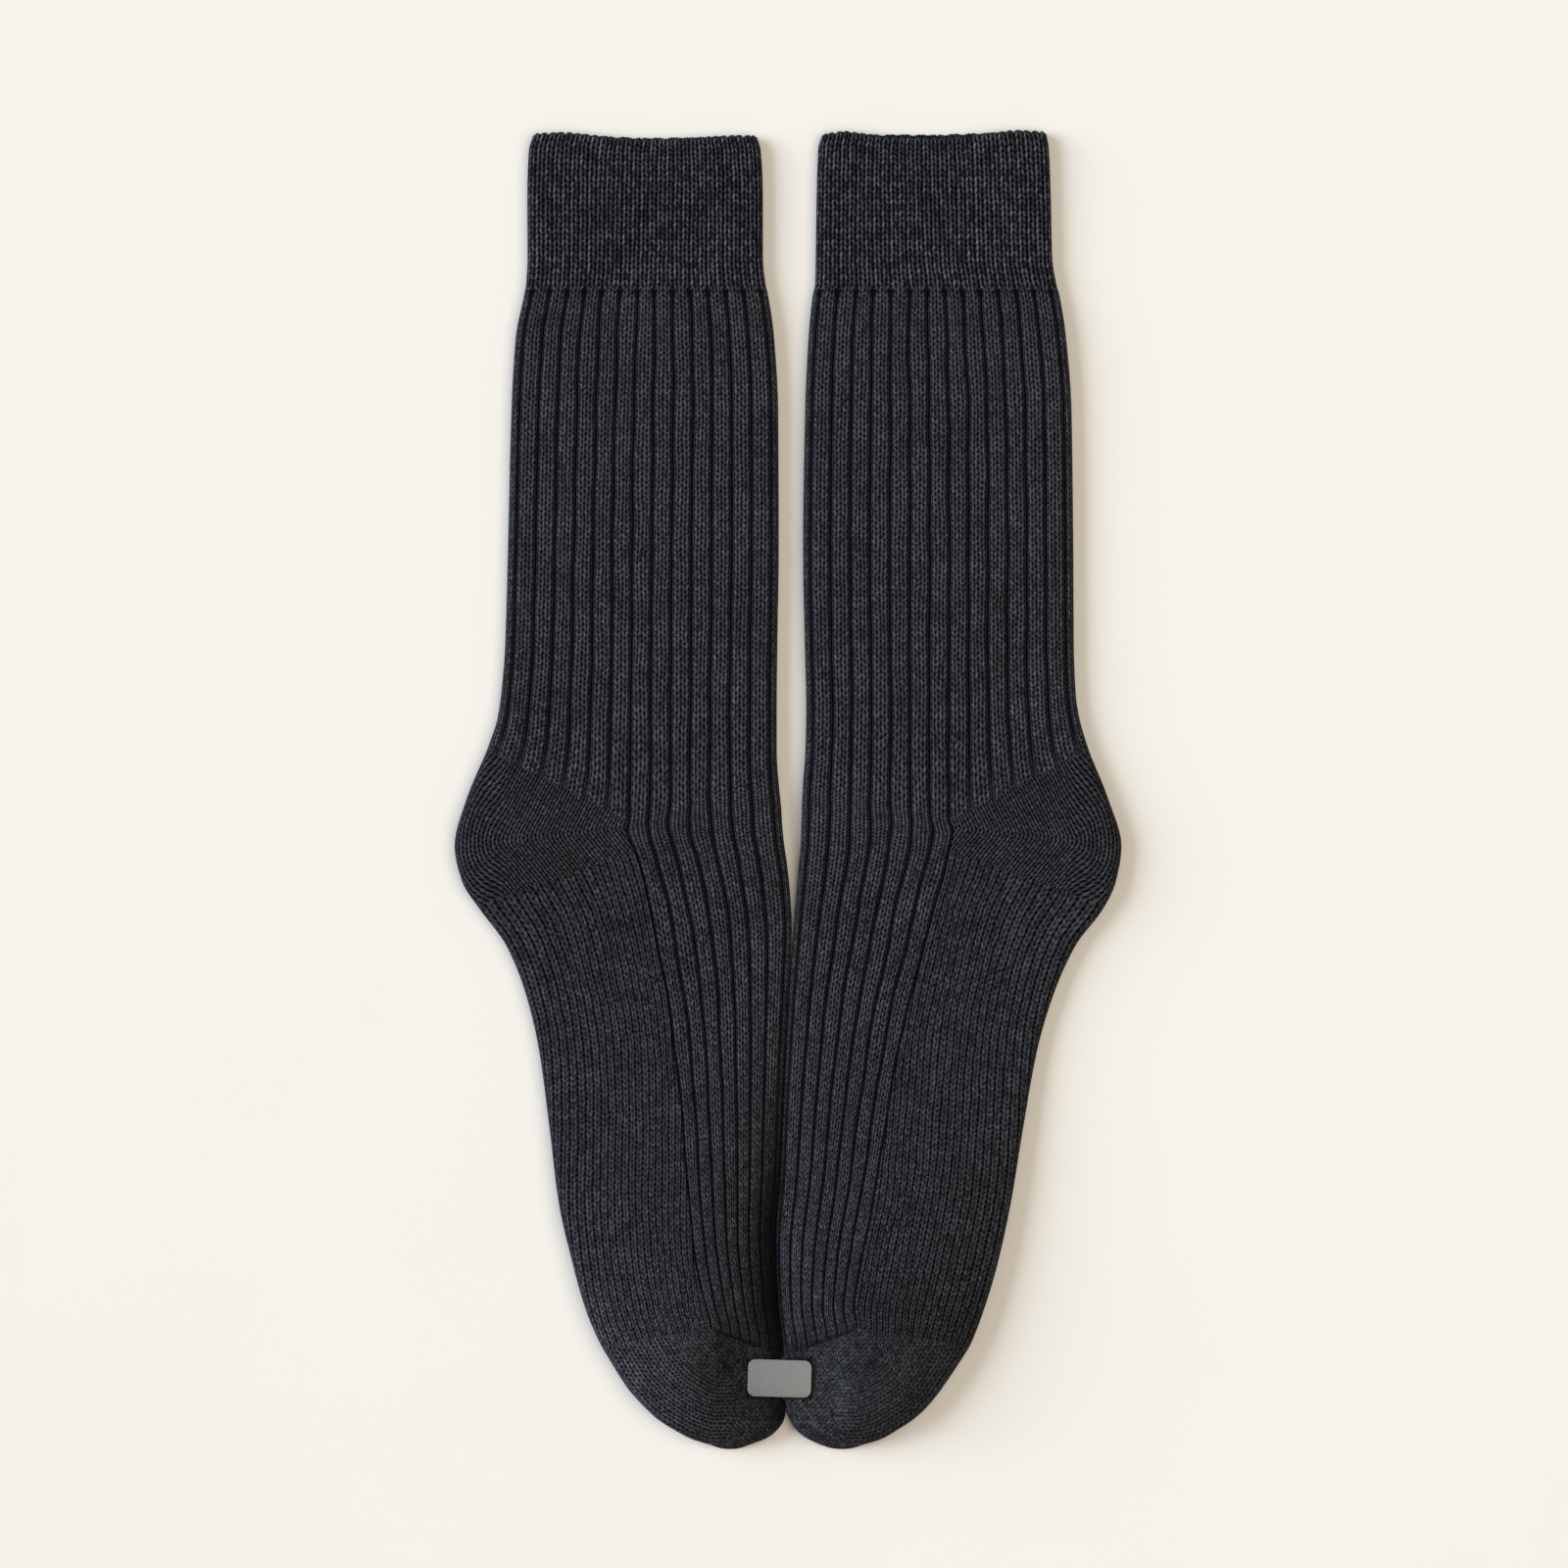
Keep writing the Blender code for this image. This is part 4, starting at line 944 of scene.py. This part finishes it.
def charcoal_knit():
    """Cotton and wool jersey and rib, knitted from charcoal heather yarn.

    To the eye: matte dark grey loops in columns, with near black shade painted between
    them, single lighter fibres and a soft bloom at grazing angles.
    """
    made, tree, shader = new_material("charcoal_heather_knit")
    counts = add(tree, "ShaderNodeUVMap", {"uv_map": "stitches"})
    split = add(tree, "ShaderNodeSeparateXYZ", inputs=[counts])
    wale, course = split.outputs[0], split.outputs[1]
    look = add(tree, "ShaderNodeAttribute", {"attribute_name": "knit_look"})
    looks = add(tree, "ShaderNodeSeparateColor", inputs=[look.outputs["Color"]])
    course_show, inner_gap, brightness_with_painted_light = looks.outputs
    # Hand-pulled knit is never quite straight: its wales wander by a share of their width.
    where = add(tree, "ShaderNodeTexCoord").outputs["Object"]
    pull = add(tree, NOISE, inputs={"Vector": where, "Scale": repeats(WANDER_MM), "Detail": 2.0})
    wander = add(tree, SPREAD, inputs={
        "Value": pull, "To Min": -WANDER_WALES, "To Max": WANDER_WALES})
    wandered = add(tree, MATH, PLUS, [wale, wander])
    # Each loop shows as two slanted legs of yarn, one on each side of its wale's middle. Its
    # ends dip under the next loop, and a hole opens beside them: shade is painted into these
    # ends, holes and gaps.
    aside = add(tree, MATH, THERE_AND_BACK, [wandered, 0.5])
    drop = add(tree, MATH, TIMES, [aside, LEG_SLANT])
    level = add(tree, MATH, MINUS, [course, drop])
    beat = add(tree, MATH, THERE_AND_BACK, [level, 0.5])
    doubled = add(tree, MATH, TIMES, [beat, 2.0])
    to_end = add(tree, MATH, POWER, [doubled, LOOP_END_POWER])
    end_painted_shade = add(tree, MATH, TIMES, [to_end, course_show])
    long_way = add(tree, MATH, MINUS, [1.0, end_painted_shade])
    turn = add(tree, MATH, TIMES, [aside, 2.0 * math.pi])
    wave = add(tree, MATH, {"operation": "SINE"}, [turn])
    strand = add(tree, MATH, POWER, [wave, STRAND_POWER])
    gap = add(tree, MATH, MINUS, [1.0, strand])
    inner = add(tree, MATH, {"operation": "GREATER_THAN"}, [aside, 0.25])
    gap_share = add(tree, "ShaderNodeMix", {"data_type": "FLOAT"}, {
        "Factor": inner, "A": look.outputs["Alpha"], "B": inner_gap})
    hole = add(tree, SPREAD, inputs={"Value": to_end, **HOLE_AT_LOOP})
    open_gap = add(tree, MATH, TIMES, [gap, hole])
    painted_gap_shade = add(tree, MATH, {**TIMES, "use_clamp": True}, [open_gap, gap_share])
    short_way = add(tree, MATH, MINUS, [1.0, painted_gap_shade])
    loop = add(tree, MATH, {**TIMES, "use_clamp": True}, [long_way, short_way])

    # Heather: each loop's yarn is a little lighter or darker, and so is each short stretch.
    half_wale = add(tree, MATH, TIMES, [wandered, 2.0])
    half_number = add(tree, MATH, {"operation": "FLOOR"}, [half_wale])
    loop_number = add(tree, MATH, {"operation": "ROUND"}, [level])
    cell = add(tree, "ShaderNodeCombineXYZ", inputs=[half_number, loop_number])
    per_loop = add(tree, "ShaderNodeTexWhiteNoise", {"noise_dimensions": "2D"}, {"Vector": cell})
    fibre = add(tree, NOISE, inputs={
        "Vector": where, "Scale": repeats(FIBRE_MM), "Detail": 2.0, "Roughness": 0.7})
    cloud = add(tree, NOISE, inputs={
        "Vector": where, "Scale": repeats(HEATHER_CLOUD_MM), "Detail": 3.0})
    spread = add(tree, MATH, TIMES, [course_show, LOOP_HEATHER])
    darkest = add(tree, MATH, MINUS, [1.0, spread])
    lightest = add(tree, MATH, PLUS, [1.0, spread])
    loop_share = add(tree, SPREAD, inputs={
        "Value": per_loop, "To Min": darkest, "To Max": lightest})
    fibre_share = add(tree, SPREAD, inputs={"Value": fibre, **FIBRE_NOISE_MOST, **FIBRE_HEATHER})
    cloud_share = add(tree, SPREAD, inputs={"Value": cloud, **NOISE_MOST, **CLOUD_HEATHER})
    fleck = add(tree, MATH, TIMES, [loop_share, fibre_share])
    heather = add(tree, MATH, TIMES, [fleck, cloud_share])

    # The attribute read here paints shade into the colour. The purl wales between the ribs lie
    # deep, so hardly any light comes back from them, and the loops on both sides reach over them
    # unevenly.
    painted_shade = add(tree, "ShaderNodeAttribute", {"attribute_name": "painted_shade"})
    reach_over = add(tree, SPREAD, inputs={"Value": fibre, **NOISE_MOST, **REACH_OVER})
    uneven_painted_shade = add(tree, MATH, TIMES, [painted_shade.outputs["Fac"], reach_over])
    open_share = add(tree, SPREAD, inputs={
        "Value": uneven_painted_shade, "From Max": PAINTED_SHADE_FULL, "To Min": 1.0, "To Max": SHARE_LEFT_IN_PAINTED_SHADE})
    shown = add(tree, MATH, TIMES, [loop, open_share])
    # The zone's own tone, times the painted light on the toe.
    bright = add(tree, MATH, TIMES, [heather, brightness_with_painted_light])
    yarn = add(tree, "ShaderNodeMix", {"data_type": "RGBA"}, {
        "Factor": shown, "A": linear(YARN_GAP_PAINTED_SHADE), "B": linear(YARN_FACE)})
    colour = add(tree, "ShaderNodeVectorMath", {"operation": "SCALE"},
                 {0: yarn.outputs["Result"], "Scale": bright})
    fine = add(tree, MATH, TIMES, [fibre, FIBRE_RELIEF])
    relief = add(tree, MATH, PLUS, [loop, fine])
    bump = add(tree, "ShaderNodeBump", inputs={
        "Strength": 0.8, "Distance": LOOP_RELIEF_MM * MM, "Height": relief})
    give(tree, shader, {
        "Base Color": colour, "Normal": bump, "Roughness": 0.95, "IOR": 1.5,
        "Specular IOR Level": 0.05, "Sheen Weight": 0.03, "Sheen Roughness": 0.6,
        "Sheen Tint": linear(YARN_BLOOM)})
    return made


def satin_steel():
    """Stainless steel strip, rolled and tumbled to a satin face with rounded edges.

    To the eye: an even mid grey with a faint lengthwise grain and a slightly lighter rim.
    """
    made, tree, shader = new_material("satin_steel_strip")
    where = add(tree, "ShaderNodeTexCoord").outputs["Object"]
    stretch = add(tree, "ShaderNodeMapping", inputs={
        "Vector": where, "Scale": (1.0, 1.0 / GRAIN_STRETCH, 1.0 / GRAIN_STRETCH)})
    grain = add(tree, NOISE, inputs={
        "Vector": stretch, "Scale": GRAIN_STRETCH * repeats(STEEL_GRAIN_MM), "Detail": 3.0})
    tumbled = add(tree, NOISE, inputs={
        "Vector": where, "Scale": repeats(STEEL_TUMBLE_MM), "Detail": 2.0})
    tone = add(tree, "ShaderNodeMix", {"data_type": "RGBA"}, {
        "Factor": tumbled, "A": linear(STEEL_DARKER), "B": linear(STEEL_LIGHTER)})
    rough = add(tree, SPREAD, inputs={"Value": grain, **NOISE_MOST, **STEEL_ROUGH})
    bump = add(tree, "ShaderNodeBump", inputs={
        "Strength": 0.25, "Distance": STEEL_GRAIN_DEEP_MM * MM, "Height": grain})
    give(tree, shader, {
        "Base Color": tone.outputs["Result"], "Roughness": rough, "Normal": bump, "Metallic": 1.0})
    return made


def cream_paper():
    """Uncoated cream backdrop paper: matte and even, with hardly any tooth."""
    made, tree, shader = new_material("cream_paper_ground")
    where = add(tree, "ShaderNodeTexCoord").outputs["Object"]
    cloudy = add(tree, NOISE, inputs={
        "Vector": where, "Scale": repeats(PAPER_CLOUD_MM), "Detail": 3.0})
    tone = add(tree, "ShaderNodeMix", {"data_type": "RGBA"}, {
        "Factor": cloudy, "A": linear(GROUND_WARM), "B": linear(GROUND_PALE)})
    give(tree, shader, {
        "Base Color": tone.outputs["Result"], "Roughness": 0.9, "Specular IOR Level": 0.1})
    return made


def toe_clip(finish):
    """The clip as one bent strip: plate above, web between the toes, plate below."""
    half = CLIP_WIDTH / 2.0
    left = CLIP_WEB_X - CLIP_WEB / 2.0 - CLIP_MIDDLE[0]
    right = CLIP_WEB_X + CLIP_WEB / 2.0 - CLIP_MIDDLE[0]
    under = CLIP_TOP - CLIP_SHEET
    profile = [
        (-half, 0.0), (half, 0.0), (half, CLIP_SHEET), (right, CLIP_SHEET),
        (right, under), (half, under), (half, CLIP_TOP), (-half, CLIP_TOP),
        (-half, under), (left, under), (left, CLIP_SHEET), (-half, CLIP_SHEET),
    ]
    mesh = bmesh.new()
    front = CLIP_MIDDLE[1] - CLIP_LENGTH / 2.0
    verts = [mesh.verts.new(Vector((CLIP_MIDDLE[0] + x, front, z)) * MM) for x, z in profile]
    grown = bmesh.ops.extrude_face_region(mesh, geom=[mesh.faces.new(verts)])
    moved = [item for item in grown["geom"] if isinstance(item, bmesh.types.BMVert)]
    bmesh.ops.translate(mesh, verts=moved, vec=(0.0, CLIP_LENGTH * MM, 0.0))
    bmesh.ops.recalc_face_normals(mesh, faces=mesh.faces)
    corners = []
    for edge in mesh.edges:
        a, b = (vert.co for vert in edge.verts)
        upright = abs(a.x - b.x) + abs(a.y - b.y) < 1e-7
        if upright and abs(abs(a.x / MM - CLIP_MIDDLE[0]) - half) < 0.01:
            corners.append(edge)
    circle = {"profile": 0.5, "affect": "EDGES"}
    bmesh.ops.bevel(mesh, geom=corners, offset=CLIP_CORNER * MM, segments=8, **circle)
    sharp = [edge for edge in mesh.edges
             if edge.is_manifold and edge.calc_face_angle(0.0) > CLIP_SHARP_ANGLE]
    bmesh.ops.bevel(mesh, geom=sharp, offset=CLIP_EDGE_ROUND * MM, segments=3, **circle)
    bmesh.ops.recalc_face_normals(mesh, faces=mesh.faces)
    front_plate = [vert for vert in mesh.verts if vert.co.z > (under - 0.5 * CLIP_SHEET) * MM]
    bmesh.ops.rotate(mesh, verts=front_plate, cent=Vector((*CLIP_MIDDLE, 0.0)) * MM,
                     matrix=Matrix.Rotation(math.radians(CLIP_ASKEW), 3, "Z"))
    data = bpy.data.meshes.new("steel_toe_clip")
    clip = made_up(mesh, data, finish)
    data.shade_smooth()
    return clip


def ground(finish):
    """The pale surface that the pair lies on."""
    mesh = bmesh.new()
    bmesh.ops.create_grid(mesh, x_segments=1, y_segments=1, size=GROUND_HALF_M)
    floor = made_up(mesh, bpy.data.meshes.new("ground"), finish)
    floor.location.z = -GROUND_BELOW_MM * MM
    return floor


def aim(thing, target):
    """Turns a light or camera to look at a point."""
    thing.rotation_euler = (Vector(target) - thing.location).to_track_quat("-Z", "Y").to_euler()


def studio():
    """Soft daylight from the upper left, a weak fill and a pale room."""
    world = bpy.data.worlds.new("pale_room")
    world.use_nodes = True
    room = world.node_tree.nodes["Background"]
    room.inputs["Color"].default_value = linear(ROOM_COLOUR)
    room.inputs["Strength"].default_value = ROOM_STRENGTH
    bpy.context.scene.world = world
    bpy.context.scene.view_settings.view_transform = "Standard"
    for name, place, size, power, colour in LIGHTS:
        lamp = bpy.data.lights.new(name, "AREA")
        lamp.shape = "SQUARE"
        lamp.size = size
        lamp.energy = power
        lamp.color = linear(colour)[:3]
        light = placed(name, lamp)
        light.location = place
        aim(light, (0.0, 0.0, 0.0))


def photo_camera():
    """Camera straight above the pair, with the photograph's whole frame."""
    lens = bpy.data.cameras.new("photo_camera")
    frame_width = PHOTO_PIXELS * PHOTO_MM_PER_PIXEL * MM
    lens.sensor_width = 36.0
    lens.lens = lens.sensor_width * CAMERA_HEIGHT_M / frame_width
    camera = placed("photo_camera", lens)
    camera.location = (PHOTO_MIDDLE[0] * MM, PHOTO_MIDDLE[1] * MM, CAMERA_HEIGHT_M)
    camera.rotation_euler = (0.0, 0.0, 0.0)
    bpy.context.scene.camera = camera


def main():
    """Dresses the solids, and sets the ground, lights and camera."""
    knit = charcoal_knit()
    for hand, side in (("left", -1.0), ("right", 1.0)):
        shell = sock_shell(hand + "_knit_sock", side, knit)
        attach(shell, "root")
        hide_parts(hand + "_sock")
    clip = toe_clip(satin_steel())
    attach(clip, "root")
    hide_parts("toe_clip")
    ground(cream_paper())
    studio()
    photo_camera()


main()
